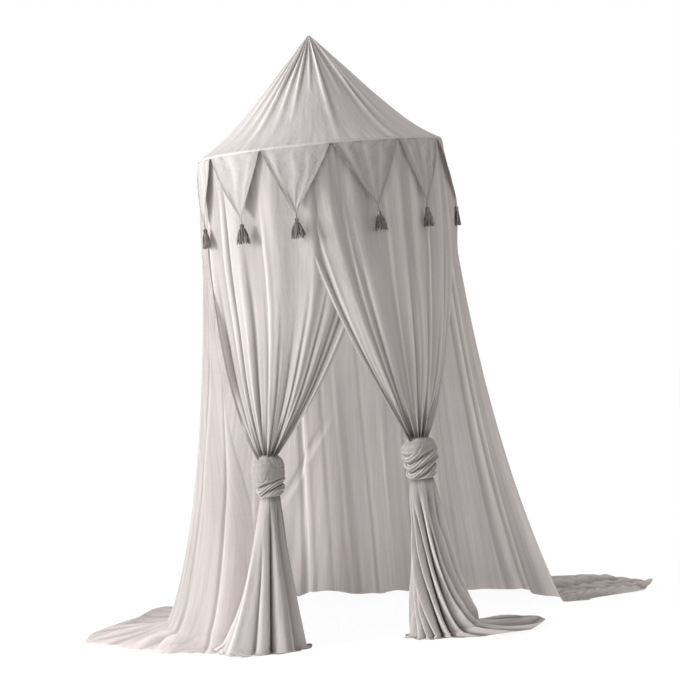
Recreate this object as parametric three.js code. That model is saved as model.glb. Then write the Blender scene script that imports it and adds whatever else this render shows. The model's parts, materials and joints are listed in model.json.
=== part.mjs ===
// A hanging bed crown canopy: a gauze cone over a hoop, a valance of pennants with tassels,
// two front curtains knotted in themselves, and a back wall that spreads over the floor.
// Millimetres, +Z up, +X to the viewer's right, and the open front faces -Y.
// The origin is the point inside the top of the hanging ring where a hook bears.
// Angles round the canopy are in degrees from the front (-Y), positive to the viewer's right (+X).

import * as THREE from 'three';

// Overall sizes
const hangingHeight = 2400;
const rimDrop = 465;
const hoopRadius = 490;
const clothThickness = 1.2;
const seamGap = 0.3;
const seatGap = 0.8;

// Hoop: rods plugged together in ferrules, in a casing that is open along its inner side
const rodRadius = 4;
const rodEndGap = 0.4;
const ferruleWall = 1.2;
const ferruleLength = 44;
const casingWall = 1.2;
const hoopRods = 4;
const rodCorners = 11;
const rodSides = 8;
const casingSteps = 7;
const casingSlitDegrees = 50;

// Hanging ring and the tape that ties it to the cone's tip
const ringInnerRadius = 6;
const ringWireRadius = 1.25;
const ringSides = 8;
const ringSteps = 18;
const tapeWidth = 6;
const tapeThickness = 0.8;
const tapeReach = 42;

// Cone of the roof
const tipRise = 10;
const tipHoleRadius = 3.5;
const coneStraightShare = 0.9;
const coneFlarePower = 9;
const tensionFolds = 9;
const tensionDepth = 11;
const tensionPeakShare = 0.2;
const rimWrapDegrees = 20;
const coneRowShares = [0, 0.12, 0.3, 0.6, 0.8, 0.92, 1];
const rimRowShares = [0.4, 0.7, 1];

// Valance of pennants
const pennants = 11;
const firstValleyDegrees = 5.3;
const pennantLength = 250;
const pennantTipWidth = 7;
const pennantTipOut = 28;
const wallTipOut = 44;
const tipLeanDegrees = [1.5, -4, 3, -1, 2, -2, 1, -2, 7, 4.5, -1.5];
const pennantHem = 0.9;
const pennantHemShare = 0.1;
const pennantColumnShares = [0, 0.1, 0.14, 0.32, 0.5, 0.68, 0.86, 0.9, 1];
const pennantRowShares = [0, 0.35, 0.7, 1];

// Tassels
const cordLength = 20;
const cordRadius = 1.5;
const cordShoulderShare = 0.8;
const cordSides = 8;
const tasselTopRadius = 1.2;
const tasselHeadRadius = 10;
const tasselHeadLength = 19;
const tasselNeckRadius = 8;
const tasselLength = 82;
const tasselHalfWidth = 31;
const tasselHalfDepth = 11;
const tasselSides = 12;
const tasselFluteShare = 0.08;
const tasselPlainRings = 4;
const headShoulderShare = 0.8;
const headFullShare = 0.7;
const skirtShares = { width: 0.45, depth: 0.88, drop: 0.4 };

// Front curtains
const curtainLayer = 2.5;
const curtainFolds = 5;
const curtainFoldDepth = 14;
const curtainBulge = 12;
const curtainRows = 11;
const columnsPerFold = 4;
const foldGrowPower = 1.2;
const neckGatherPower = 8;
const neckWidth = 88;
const neckDepth = 48;
const leftCurtain = {
  side: -1,
  layer: -curtainLayer,
  bulge: curtainBulge,
  innerDegrees: 22,
  outerDegrees: -86,
  innerHang: 2.2,
  outerHang: 4,
  knotX: -318,
  footX: -388,
  footHalfWidth: 138,
  trainLength: 60,
  trainDegrees: -100,
};
const rightCurtain = {
  side: 1,
  layer: curtainLayer,
  bulge: -curtainBulge,
  innerDegrees: -18,
  outerDegrees: 83,
  innerHang: 1.5,
  outerHang: 3,
  knotX: 272,
  footX: 293,
  footHalfWidth: 122,
  trainLength: 262,
  trainDegrees: 92,
};

// Knots and the tails below them
const knotTopDrop = 1640;
const knotHeight = 165;
const knotInset = 40;
const knotHalfWidth = 71;
const knotHalfDepth = 56;
const knotTurns = 3;
const knotTwistTurns = 1.2;
const knotWrapShare = 0.07;
const knotSides = 24;
const knotRowShares = [0, 0.06, 0.16, 0.3, 0.46, 0.6, 0.7, 0.84, 0.95, 1];
const knotFullShares = [0.62, 0.82, 0.96, 1, 0.93, 0.78, 0.8, 0.76, 0.62, 0.5];
const tailTopHalfWidth = 44;
const tailTopHalfDepth = 27;
const tailFootHalfDepth = 78;
const tailFootForward = 12;
const tailFlutes = 6;
const tailFluteShare = 0.16;
const tailTopFluteShare = 0.3;
const tailWrapDegrees = 150;
const tailHemSpread = 18;
const trainFocusPower = 3;
const tailRows = 6;
const tailFloorRowShares = [0.35, 1];

// Back wall: three widths of cloth from the right front edge round the back to the left
const wallPanels = ['wall_right', 'wall_back', 'wall_left'];
const wallStartDegrees = 85;
const wallEndDegrees = 272;
const wallStartDriftDegrees = 3;
const wallEndDriftDegrees = 30;
const wallEndDriftShare = 0.5;
const wallFoldsPerPanel = 4;
const wallFoldDepth = 24;
const wallRows = 8;
const wallFloorRowShares = [0.25, 0.6, 1];
const wallFlarePower = 3;
const wallFlareShare = 0.7;
const wallFoldPower = 1.5;
const floorRidge = 14;
const footSpread = 390;
const hemSpread = 760;
// How far out the wall meets the floor and how far its hem lies, by angle: [degrees, share]
const footShares = [
  [80, 0.8], [92, 0.8], [101, 0.6], [131, 0.22], [147, 0.04], [180, 0.1], [196, 0.6],
  [215, 0.7], [240, 0.74], [262, 0.82], [274, 0.8], [290, 0.74], [302, 0.64],
];
const hemShares = [
  [80, 0.56], [89, 0.58], [94, 0.9], [101, 1], [116, 0.9], [130, 0.69], [150, 0.47], [180, 0.43],
  [205, 0.56], [230, 0.8], [246, 0.9], [258, 0.94], [264, 0.93], [274, 0.68], [286, 0.52], [302, 0.36],
];

// Colours and finishes
const clothFinish = { color: 0xcfc6c2, roughness: 0.92, metalness: 0 };
const tasselFinish = { color: 0x756b68, roughness: 0.9, metalness: 0 };
const tapeFinish = { color: 0xc4bcb7, roughness: 0.85, metalness: 0 };
const rodFinish = { color: 0xe8e6e2, roughness: 0.45, metalness: 0.3 };
const steelFinish = { color: 0xb9bbbd, roughness: 0.35, metalness: 0.9 };

// Values that follow from the sizes above
const floorZ = -hangingHeight;
const rimZ = -rimDrop;
const hoopCorners = hoopRods * rodCorners;
const ferruleBore = around(rodRadius + seamGap, rodSides);
const ferruleRadius = ferruleBore + ferruleWall;
const casingArcDegrees = 360 - casingSlitDegrees;
const casingHalfStep = radians(casingArcDegrees / casingSteps / 2);
const casingBore = (ferruleRadius + seamGap) / Math.cos(casingHalfStep);
const casingRadius = casingBore + casingWall;
const curtainTopZ = rimZ - casingRadius * Math.cos(casingHalfStep) - seamGap;
const wrapRadius = casingRadius + seatGap + clothThickness / 2;
const wrapAngle = radians(rimWrapDegrees);
const roofEdgeRadius = wrapRadius + clothThickness / 2;
const pennantTopRadius = hoopRadius + wrapRadius * Math.cos(wrapAngle);
const pennantTopZ = rimZ - roofEdgeRadius * Math.sin(wrapAngle) - seamGap;
const pennantTipZ = pennantTopZ - pennantLength;
const knotTopZ = -knotTopDrop;
const knotY = knotInset - hoopRadius;
const tailFootY = knotY - tailFootForward;
const knotFootZ = knotTopZ - knotHeight;
const clothOnFloorZ = floorZ + clothThickness / 2;

function radians(degrees) {
  return THREE.MathUtils.degToRad(degrees);
}

function mix(from, to, share) {
  return from + (to - from) * share;
}

// Radius of the corners of a polygon whose flats lie at the given radius
function around(radius, sides) {
  return radius / Math.cos(Math.PI / sides);
}

// A share that starts and ends softly, and stays at 1 from 1 on
function smooth(share) {
  return THREE.MathUtils.smoothstep(share, 0, 1);
}

function steps(count) {
  return Array.from({ length: count + 1 }, (_, index) => index / count);
}

// Point at an angle round the canopy's axis
function onCircle(radius, degrees, height) {
  const angle = radians(degrees);
  return new THREE.Vector3(radius * Math.sin(angle), -radius * Math.cos(angle), height);
}

// Smooth value between the rows of a table of [degrees, share]
function shareAt(shares, degrees) {
  const last = shares.length - 1;
  if (degrees <= shares[0][0]) {
    return shares[0][1];
  }
  if (degrees >= shares[last][0]) {
    return shares[last][1];
  }
  const next = shares.findIndex((row) => row[0] > degrees);
  const [before, after] = [shares[next - 1], shares[next]];
  return mix(before[1], after[1], smooth((degrees - before[0]) / (after[0] - before[0])));
}

// Direction square to a sheet, where place(u, v) gives the middle of the cloth
function squareTo(place, u, v, columns, rows, joined) {
  const nudge = 1e-4;
  const [left, right] = joined ? [u - nudge, u + nudge]
    : [Math.max(u - nudge, columns[0]), Math.min(u + nudge, columns.at(-1))];
  const above = Math.max(v - nudge, rows[0]);
  const below = Math.min(v + nudge, rows.at(-1));
  const across = place(right, v).sub(place(left, v));
  const down = place(u, below).sub(place(u, above));
  return across.cross(down).normalize();
}

// Closed solid of even thickness on both sides of a sheet, or a ring of it where joined is true.
// Rows in cutLevel end in a level edge, and extra(u) thickens the outer side.
function clothSolid(place, columns, rows, { joined = false, cutLevel = [], extra = () => 0 } = {}) {
  const corners = [];
  for (const side of [1, -1]) {
    for (const v of rows) {
      for (const u of columns) {
        const outward = squareTo(place, u, v, columns, rows, joined);
        if (cutLevel.includes(v)) {
          outward.setZ(0).normalize();
        }
        const offset = side * clothThickness / 2 + (side > 0 ? extra(u) : 0);
        corners.push(place(u, v).addScaledVector(outward, offset));
      }
    }
  }
  const wide = columns.length;
  const at = (side, row, column) => (side * rows.length + row) * wide + column % wide;
  const faces = [];
  const quad = (a, b, c, d) => faces.push(a, b, c, a, c, d);
  const lastRow = rows.length - 1;
  const lastColumn = joined ? wide : wide - 1;
  for (let column = 0; column < lastColumn; column += 1) {
    for (let row = 0; row < lastRow; row += 1) {
      quad(...cellCorners(0, row, column, at));
      const [a, b, c, d] = cellCorners(1, row, column, at);
      faces.push(a, c, b, a, d, c);
    }
    const next = column + 1;
    quad(at(0, 0, column), at(1, 0, column), at(1, 0, next), at(0, 0, next));
    quad(at(0, lastRow, column), at(0, lastRow, next), at(1, lastRow, next), at(1, lastRow, column));
  }
  if (!joined) {
    for (let row = 0; row < lastRow; row += 1) {
      const next = row + 1;
      quad(at(0, row, 0), at(0, next, 0), at(1, next, 0), at(1, row, 0));
      const side = lastColumn;
      quad(at(0, row, side), at(1, row, side), at(1, next, side), at(0, next, side));
    }
  }
  return geometryOf(corners, faces);
}

// The four corners of one cell of a grid, in order round it
function cellCorners(side, row, column, at) {
  const below = row + 1;
  const right = column + 1;
  return [at(side, row, column), at(side, row, right), at(side, below, right), at(side, below, column)];
}

// Closed solid through rings of points, each end closed round its middle. The rings go downwards.
function loftSolid(place, sides, rows) {
  const corners = [];
  for (const v of rows) {
    for (let side = 0; side < sides; side += 1) {
      corners.push(place(side / sides, v));
    }
  }
  const faces = [];
  for (let row = 0; row < rows.length - 1; row += 1) {
    for (let side = 0; side < sides; side += 1) {
      const [a, b] = [row * sides + side, row * sides + (side + 1) % sides];
      faces.push(a, b + sides, b, a, a + sides, b + sides);
    }
  }
  for (const row of [0, rows.length - 1]) {
    const ring = corners.slice(row * sides, (row + 1) * sides);
    const middle = ring.reduce((sum, corner) => sum.add(corner), new THREE.Vector3());
    const centre = corners.push(middle.divideScalar(sides)) - 1;
    for (let side = 0; side < sides; side += 1) {
      const [a, b] = [row * sides + side, row * sides + (side + 1) % sides];
      faces.push(centre, ...(row === 0 ? [a, b] : [b, a]));
    }
  }
  return geometryOf(corners, faces);
}

function geometryOf(corners, faces) {
  const geometry = new THREE.BufferGeometry().setFromPoints(corners);
  geometry.setIndex(faces);
  geometry.computeVertexNormals();
  return geometry;
}

function piece(name, geometry, finish) {
  const mesh = new THREE.Mesh(geometry, new THREE.MeshStandardMaterial(finish));
  mesh.name = name;
  return mesh;
}

// Part of the hoop's centre line, counted in its corners
class HoopPath extends THREE.Curve {
  constructor(from, to) {
    super();
    this.from = from;
    this.to = to;
  }

  getPoint(share, target = new THREE.Vector3()) {
    const place = mix(this.from, this.to, share);
    const corner = Math.min(Math.floor(place), Math.ceil(this.to) - 1);
    const start = onCircle(hoopRadius, hoopDegrees(corner), 0);
    const end = onCircle(hoopRadius, hoopDegrees(corner + 1), 0);
    return target.lerpVectors(start, end, place - corner);
  }
}

function hoopDegrees(corner) {
  return firstValleyDegrees + corner * 360 / hoopCorners;
}

// Round outline of a rod, or of a tube where a bore is given
function roundShape(radius, bore) {
  const ring = (size, Kind) => new Kind(steps(rodSides).slice(0, -1).map((share) => {
    const angle = 2 * Math.PI * share;
    return new THREE.Vector2(size * Math.cos(angle), size * Math.sin(angle));
  }));
  const shape = ring(radius, THREE.Shape);
  if (bore) {
    shape.holes.push(ring(bore, THREE.Path));
  }
  return shape;
}

// The hoop's rods, its ferrules and the casing sewn round them
function hoop() {
  const group = new THREE.Group();
  group.position.z = rimZ;
  const chord = 2 * hoopRadius * Math.sin(Math.PI / hoopCorners);
  for (let index = 0; index < hoopRods; index += 1) {
    const start = index * rodCorners;
    const rodPath = new HoopPath(start + rodEndGap / chord, start + rodCorners - rodEndGap / chord);
    const rod = new THREE.ExtrudeGeometry(roundShape(rodRadius), {
      steps: rodCorners, bevelEnabled: false, extrudePath: rodPath,
    });
    group.add(piece(`hoop_rod_${index + 1}`, rod, rodFinish));
    const half = ferruleLength / 2 / chord;
    const ferrule = new THREE.ExtrudeGeometry(roundShape(ferruleRadius, ferruleBore), {
      steps: 2, bevelEnabled: false, extrudePath: new HoopPath(start - half, start + half),
    });
    group.add(piece(`hoop_ferrule_${index + 1}`, ferrule, steelFinish));
  }
  group.add(piece('hoop_casing', casingGeometry(), clothFinish));
  return group;
}

// C-shaped profile revolved round the axis. Its slit faces the axis, so that the rods go in.
function casingGeometry() {
  const arc = (radius) => steps(casingSteps).map((share) => {
    const angle = radians(180 + casingSlitDegrees / 2 + share * casingArcDegrees);
    return new THREE.Vector2(hoopRadius + radius * Math.cos(angle), radius * Math.sin(angle));
  });
  const outside = arc(casingRadius);
  const profile = [...outside, ...arc(casingBore).reverse(), outside[0]];
  const geometry = new THREE.LatheGeometry(profile, hoopCorners, radians(firstValleyDegrees));
  geometry.rotateX(Math.PI / 2);
  return geometry;
}

// Ring that takes the hook, and the tape over its foot that is sewn into the cone's tip
function suspension() {
  const group = new THREE.Group();
  const centreRadius = ringInnerRadius + ringWireRadius;
  const ring = new THREE.TorusGeometry(centreRadius, ringWireRadius, ringSides, ringSteps);
  const ringMesh = piece('hanging_ring', ring, steelFinish);
  ringMesh.rotation.x = Math.PI / 2;
  ringMesh.position.z = -ringInnerRadius;
  group.add(ringMesh);
  group.add(piece('hanging_tape', tapeGeometry(centreRadius), tapeFinish));
  return group;
}

// The tape's edge-on outline in the plane through the ring's axis, drawn out to the tape's width
function tapeGeometry(centreRadius) {
  const half = tapeThickness / 2;
  const wireAtEdge = Math.sqrt(centreRadius ** 2 - (tapeWidth / 2) ** 2);
  const overZ = -ringInnerRadius - wireAtEdge + ringWireRadius + seamGap + half;
  const wireZ = -ringInnerRadius - centreRadius;
  const legY = ringWireRadius + seamGap + half;
  const slope = coneStraightShare * coneEnd().radius / coneEnd().depth;
  const squareOff = clothThickness / 2 + seamGap + half;
  const inset = squareOff * Math.sqrt(1 + slope * slope);
  const onCone = (depth) => [slope * (tipRise + depth) - inset, -depth];
  const bendDepth = tapeReach / 2 + ringInnerRadius;
  const side = [[0, overZ], [legY, overZ - half], [legY + half, wireZ - half],
    onCone(bendDepth), onCone(bendDepth + tapeReach / 2)];
  const line = [...side.slice(1).reverse().map(([y, z]) => [-y, z]), ...side]
    .map(([y, z]) => new THREE.Vector2(y, z));
  const edge = (sign) => line.map((point, index) => {
    const before = line[Math.max(index - 1, 0)];
    const after = line[Math.min(index + 1, line.length - 1)];
    const along = after.clone().sub(before).normalize();
    return new THREE.Vector2(point.x - sign * half * along.y, point.y + sign * half * along.x);
  });
  const outline = new THREE.Shape([...edge(-1), ...edge(1).reverse()]);
  const geometry = new THREE.ExtrudeGeometry(outline, { depth: tapeWidth, bevelEnabled: false });
  geometry.translate(0, 0, -tapeWidth / 2);
  geometry.rotateX(Math.PI / 2);
  geometry.rotateZ(Math.PI / 2);
  return geometry;
}

// Where the cone's cloth meets the arc over the casing, measured from the cone's virtual tip
function coneEnd() {
  const flare = mix(coneFlarePower, 1, coneStraightShare);
  const steepness = hoopRadius * flare / (rimDrop + tipRise);
  const squareAngle = Math.atan(steepness);
  return {
    squareAngle,
    radius: hoopRadius + wrapRadius * Math.cos(squareAngle),
    depth: rimDrop + tipRise - wrapRadius * Math.sin(squareAngle),
  };
}

// Cone with tension folds from its tip, then an arc over the casing down to the pennants' seam
function roof() {
  const end = coneEnd();
  const tipShare = tipHoleRadius / (coneStraightShare * end.radius);
  const place = (u, v) => {
    const degrees = firstValleyDegrees + 360 * u;
    if (v > 1) {
      const angle = mix(end.squareAngle, -wrapAngle, v - 1);
      const radius = hoopRadius + wrapRadius * Math.cos(angle);
      return onCircle(radius, degrees, rimZ + wrapRadius * Math.sin(angle));
    }
    const along = mix(tipShare, 1, v);
    const plain = end.radius * mix(along ** coneFlarePower, along, coneStraightShare);
    const fold = (1 + Math.cos(2 * Math.PI * tensionFolds * u)) / 2;
    const radius = plain + tensionDepth * tensionAt(v) * fold;
    return onCircle(radius, degrees, tipRise - end.depth * along);
  };
  const columns = steps(hoopCorners).slice(0, -1);
  const rows = [...coneRowShares, ...rimRowShares.map((share) => 1 + share)];
  return piece('roof_cone', clothSolid(place, columns, rows, { joined: true }), clothFinish);
}

// How strong the tension folds are: nothing at the tip, most a little below, nothing at the rim
function tensionAt(share) {
  const near = share / tensionPeakShare;
  return near * Math.exp(1 - near) * (1 - share) / (1 - tensionPeakShare);
}

function pennantDegrees(index) {
  return firstValleyDegrees + (index + 0.5) * 360 / pennants;
}

// Angle of a pennant's tip, which leans a little to one side as it hangs
function tipDegrees(index) {
  return pennantDegrees(index) + tipLean(index);
}

function tipLean(index) {
  return tipLeanDegrees[index % tipLeanDegrees.length];
}

// The wall flares out, so that the pennants over it stand out further than those over the curtains
function tipRadius(index) {
  const middle = pennantDegrees(index);
  const overWall = middle > rightCurtain.outerDegrees && middle < 360 + leftCurtain.outerDegrees;
  return hoopRadius + (overWall ? wallTipOut : pennantTipOut);
}

// One pennant: a pointed piece of the cylinder round the hoop, with a doubled hem on both edges
function pennant(index) {
  const topHalf = 180 / pennants - seamDegrees(pennantTopRadius);
  const tipHalf = THREE.MathUtils.radToDeg(pennantTipWidth / 2 / tipRadius(index));
  const place = (u, v) => {
    const spread = mix(topHalf, tipHalf, v) * (2 * u - 1);
    const radius = mix(pennantTopRadius, tipRadius(index), v);
    const middle = pennantDegrees(index) + tipLean(index) * v;
    return onCircle(radius, middle + spread, pennantTopZ - pennantLength * v);
  };
  const hem = (u) => (Math.min(u, 1 - u) <= pennantHemShare ? pennantHem : 0);
  const facingOut = (u, v) => place(1 - u, v);
  const edges = { cutLevel: [0, 1], extra: hem };
  const solid = clothSolid(facingOut, pennantColumnShares, pennantRowShares, edges);
  return piece(`pennant_${label(index)}`, solid, clothFinish);
}

// Half a seam's gap as an angle
function seamDegrees(radius) {
  return THREE.MathUtils.radToDeg(seamGap / 2 / radius);
}

function label(index) {
  return String(index + 1).padStart(2, '0');
}

// Cord with a pointed foot, hung in the pennant's tip
function cordGeometry() {
  const shoulder = cordRadius * cordShoulderShare;
  const taper = 2 * cordRadius;
  const profile = [
    [0, -seamGap], [shoulder, -seamGap - shoulder], [cordRadius, -taper],
    [cordRadius, taper - cordLength], [0, -cordLength],
  ];
  const points = profile.reverse().map(([radius, height]) => new THREE.Vector2(radius, height));
  const geometry = new THREE.LatheGeometry(points, cordSides);
  geometry.rotateX(Math.PI / 2);
  return geometry;
}

// Bound head and flared, flattened skirt of yarn
function tasselGeometry() {
  const shoulder = tasselHeadRadius * headShoulderShare;
  const skirtHalfWidth = mix(tasselNeckRadius, tasselHalfWidth, skirtShares.width);
  const rings = [
    [tasselTopRadius, tasselTopRadius, seamGap],
    [shoulder, shoulder, shoulder + seamGap],
    [tasselHeadRadius, tasselHeadRadius, tasselHeadLength * headFullShare],
    [tasselNeckRadius, tasselNeckRadius, tasselHeadLength],
    [skirtHalfWidth, tasselHalfDepth * skirtShares.depth, tasselLength * skirtShares.drop],
    [tasselHalfWidth, tasselHalfDepth, tasselLength],
  ];
  const place = (u, v) => {
    const [halfWidth, halfDepth, drop] = rings[v];
    const angle = 2 * Math.PI * u;
    const dip = v < tasselPlainRings ? 0 : tasselFluteShare * (Math.round(u * tasselSides) % 2);
    const x = halfWidth * (1 - dip) * Math.sin(angle);
    const y = -halfDepth * (1 - dip) * Math.cos(angle);
    return new THREE.Vector3(x, y, -drop);
  };
  return loftSolid(place, tasselSides, rings.map((_, index) => index));
}

// Cord and tassel, placed at their pennant's tip and turned to face outwards
function tassel(index) {
  const group = new THREE.Group();
  group.position.copy(onCircle(tipRadius(index), tipDegrees(index), pennantTipZ));
  group.rotation.z = radians(tipDegrees(index));
  group.add(piece(`tassel_cord_${label(index)}`, cordGeometry(), tasselFinish));
  const yarn = piece(`tassel_${label(index)}`, tasselGeometry(), tasselFinish);
  yarn.position.z = -cordLength;
  group.add(yarn);
  return group;
}

// Curtain from the rim to its knot. Each line of the cloth first hangs, then draws in to the neck.
function curtain(name, form) {
  const footZ = knotTopZ + seamGap;
  const place = (u, v) => {
    const degrees = mix(form.innerDegrees, form.outerDegrees, u);
    const top = onCircle(hoopRadius + form.layer, degrees, curtainTopZ);
    const neck = new THREE.Vector3(form.knotX + form.side * neckWidth * (u - 0.5), knotY, footZ);
    const drawn = v ** mix(form.innerHang, form.outerHang, u);
    const point = top.clone().lerp(neck, drawn).setZ(mix(top.z, footZ, v));
    const outward = onCircle(1, degrees, 0).lerp(onCircle(1, 0, 0), drawn).normalize();
    const depth = mix(curtainFoldDepth * v ** foldGrowPower, neckDepth / 2, v ** neckGatherPower);
    point.addScaledVector(outward, depth * Math.cos(2 * Math.PI * curtainFolds * u));
    point.y += form.bulge * Math.sin(Math.PI * v) ** 2;
    return point;
  };
  const facing = form.side > 0 ? (u, v) => place(1 - u, v) : place;
  const columns = steps(columnsPerFold * curtainFolds);
  return piece(name, clothSolid(facing, columns, steps(curtainRows), { cutLevel: [0, 1] }), clothFinish);
}

// Knot tied in the curtain: a full upper wrap over a narrower one, with folds that twist downwards
function knot(name, form) {
  const place = (u, v) => {
    const angle = 2 * Math.PI * u;
    const row = knotRowShares[v];
    const wrap = Math.cos(knotTurns * angle + 2 * Math.PI * knotTwistTurns * row);
    const full = knotFullShares[v] * (1 + knotWrapShare * Math.sin(Math.PI * row) * wrap);
    const x = form.knotX + knotHalfWidth * full * Math.sin(angle);
    const y = knotY - knotHalfDepth * full * Math.cos(angle);
    return new THREE.Vector3(x, y, knotTopZ - knotHeight * row);
  };
  return piece(name, loftSolid(place, knotSides, knotRowShares.map((_, index) => index)), clothFinish);
}

// Tail below the knot: fluted cloth wrapped round from the back, with a train over the floor
function tail(name, form) {
  const topZ = knotFootZ - seamGap;
  const place = (u, v) => {
    const wrapped = mix(-tailWrapDegrees, tailWrapDegrees, u);
    const down = Math.min(v, 1);
    const spread = Math.max(v - 1, 0);
    const wave = Math.cos(2 * Math.PI * tailFlutes * u);
    const flute = 1 + tailFluteShare * mix(tailTopFluteShare, 1, down) * wave;
    const halfWidth = mix(tailTopHalfWidth, form.footHalfWidth, down) * flute;
    const halfDepth = mix(tailTopHalfDepth, tailFootHalfDepth, down) * flute;
    const pull = Math.max(Math.cos(radians(wrapped - form.trainDegrees)), 0) ** trainFocusPower;
    const beyond = spread * (tailHemSpread + form.trainLength * pull);
    const x = mix(form.knotX, form.footX, down) + (halfWidth + beyond) * Math.sin(radians(wrapped));
    const y = mix(knotY, tailFootY, down) - (halfDepth + beyond) * Math.cos(radians(wrapped));
    const ridge = floorRidge * pull * spread * (1 - spread) * (1 + wave);
    return new THREE.Vector3(x, y, mix(topZ, clothOnFloorZ, down) + ridge);
  };
  const facing = (u, v) => place(1 - u, v);
  const rows = [...steps(tailRows), ...tailFloorRowShares.map((share) => 1 + share)];
  const columns = steps(columnsPerFold * tailFlutes);
  return piece(name, clothSolid(facing, columns, rows, { cutLevel: [0] }), clothFinish);
}

// One width of the back wall, which hangs, flares and then lies on the floor out to its hem
function wallPanel(name, index) {
  const place = (u, v) => {
    const down = Math.min(v, 1);
    const spread = Math.max(v - 1, 0);
    const start = wallStartDegrees + wallStartDriftDegrees * down ** 2;
    const end = wallEndDegrees + wallEndDriftDegrees * smooth(down / wallEndDriftShare);
    const degrees = mix(start, end, (index + u) / wallPanels.length);
    const flare = mix(down, down ** wallFlarePower, wallFlareShare);
    const wave = Math.cos(2 * Math.PI * wallFoldsPerPanel * u);
    const foot = hoopRadius + footSpread * shareAt(footShares, degrees) * flare;
    const hem = hoopRadius + hemSpread * shareAt(hemShares, degrees);
    const radius = mix(foot + wallFoldDepth * down ** wallFoldPower * wave, hem, spread);
    const ridge = 2 * floorRidge * spread * (1 - spread) * (1 + wave);
    return onCircle(radius, degrees, mix(curtainTopZ, clothOnFloorZ, down) + ridge);
  };
  const columns = steps(columnsPerFold * wallFoldsPerPanel);
  const seamShare = seamDegrees(hoopRadius) * wallPanels.length / (wallEndDegrees - wallStartDegrees);
  columns[0] = seamShare;
  columns[columns.length - 1] = 1 - seamShare;
  const rows = [...steps(wallRows), ...wallFloorRowShares.map((share) => 1 + share)];
  const facing = (u, v) => place(1 - u, v);
  return piece(name, clothSolid(facing, columns, rows, { cutLevel: [0] }), clothFinish);
}

const canopy = new THREE.Group();
canopy.add(suspension());
canopy.add(roof());
canopy.add(hoop());
for (let index = 0; index < pennants; index += 1) {
  canopy.add(pennant(index));
  canopy.add(tassel(index));
}
wallPanels.forEach((name, index) => canopy.add(wallPanel(name, index)));
for (const [name, form] of [['left', leftCurtain], ['right', rightCurtain]]) {
  canopy.add(curtain(`curtain_${name}`, form));
  canopy.add(knot(`knot_${name}`, form));
  canopy.add(tail(`tail_${name}`, form));
}

export default canopy;
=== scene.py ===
# %% [markdown]
# A bed canopy hangs from one point. A gauze cone falls to a hoop, a row of pennants with tassels hides the
# seam there, and long cloth hangs from the hoop to the floor. The two front curtains are tied in knots.
# The imported model gives every size and place, so the first step is to load it and keep its pieces in place.

import json
import math

import bmesh
import bpy
import numpy as np
from mathutils import Matrix, Vector


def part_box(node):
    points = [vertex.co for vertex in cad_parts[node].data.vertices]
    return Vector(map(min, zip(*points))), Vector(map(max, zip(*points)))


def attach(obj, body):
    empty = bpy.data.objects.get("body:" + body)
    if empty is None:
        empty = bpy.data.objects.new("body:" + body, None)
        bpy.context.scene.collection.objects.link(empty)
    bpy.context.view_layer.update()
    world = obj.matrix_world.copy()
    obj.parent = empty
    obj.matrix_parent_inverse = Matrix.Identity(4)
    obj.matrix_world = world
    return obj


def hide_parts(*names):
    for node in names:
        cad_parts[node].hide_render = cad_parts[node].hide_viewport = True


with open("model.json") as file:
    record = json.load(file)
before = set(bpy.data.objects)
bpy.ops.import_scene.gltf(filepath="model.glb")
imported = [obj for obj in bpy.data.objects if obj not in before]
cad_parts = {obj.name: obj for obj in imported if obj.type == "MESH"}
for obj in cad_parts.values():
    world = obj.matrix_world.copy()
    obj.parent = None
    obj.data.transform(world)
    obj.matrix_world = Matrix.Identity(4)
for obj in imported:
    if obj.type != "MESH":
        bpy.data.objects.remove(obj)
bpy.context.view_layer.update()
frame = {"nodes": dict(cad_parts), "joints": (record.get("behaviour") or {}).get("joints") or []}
joints = {joint["name"]: joint for joint in frame["joints"]}
print("pieces in the frame:", len(frame["nodes"]), "joints:", len(joints))

# %% [markdown]
# The camera stands 8 m in front of the canopy, a little above the middle of its height, and is rolled by a
# few degrees, which is why the canopy leans in the picture. The long lens keeps the perspective flat.

# %% Camera
PICTURE_PIXELS = 680
FOCAL_PIXELS = 1954
SENSOR_MM = 36
CAMERA_PLACE = Vector((0, -8, -0.95))
CAMERA_AIM = Vector((0.009, 0, -1.240))
CAMERA_ROLL_DEGREES = -5.5


def make_camera():
    data = bpy.data.cameras.new("camera")
    data.sensor_width = SENSOR_MM
    data.lens = SENSOR_MM * FOCAL_PIXELS / PICTURE_PIXELS
    camera = bpy.data.objects.new("camera", data)
    bpy.context.scene.collection.objects.link(camera)
    look = (CAMERA_AIM - CAMERA_PLACE).to_track_quat("-Z", "Y").to_matrix().to_4x4()
    roll = Matrix.Rotation(math.radians(CAMERA_ROLL_DEGREES), 4, "Z")
    camera.matrix_world = Matrix.Translation(CAMERA_PLACE) @ look @ roll
    bpy.context.scene.camera = camera
    return camera


camera = make_camera()
print("lens:", round(camera.data.lens, 1), "mm")

# %% [markdown]
# Sizes that several pieces share. They repeat the model's own driving sizes in metres, and what can be
# read from the frame is read from it: the floor, the knots and the places where the tassels hang. The
# right knot is tied a little higher than the left one, and takes the cloth above and below it along.

# %% Shared sizes
FLOOR_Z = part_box("tail_left")[0].z
HOOP_RADIUS = 0.49
RIM_Z = -0.465
TIP_Z = 0.01
WRAP_RADIUS = 0.0096
CURTAIN_TOP_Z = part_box("curtain_left")[1].z
FIRST_VALLEY_DEGREES = 5.3
PENNANTS = 11
KNOT_FOOT_Z, KNOT_TOP_Z = (corner.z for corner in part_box("knot_left"))
KNOT_X = {"left": -0.318, "right": 0.272}
KNOT_Y = -0.45
KNOT_RAISE = {"left": 0, "right": 0.014}
CLOTH_LIFT = 0.0008
MERGE_DISTANCE = 1e-6
TAU = 2 * math.pi
print("floor at", round(FLOOR_Z, 4), "cloth hangs from", round(CURTAIN_TOP_Z, 4))
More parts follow.
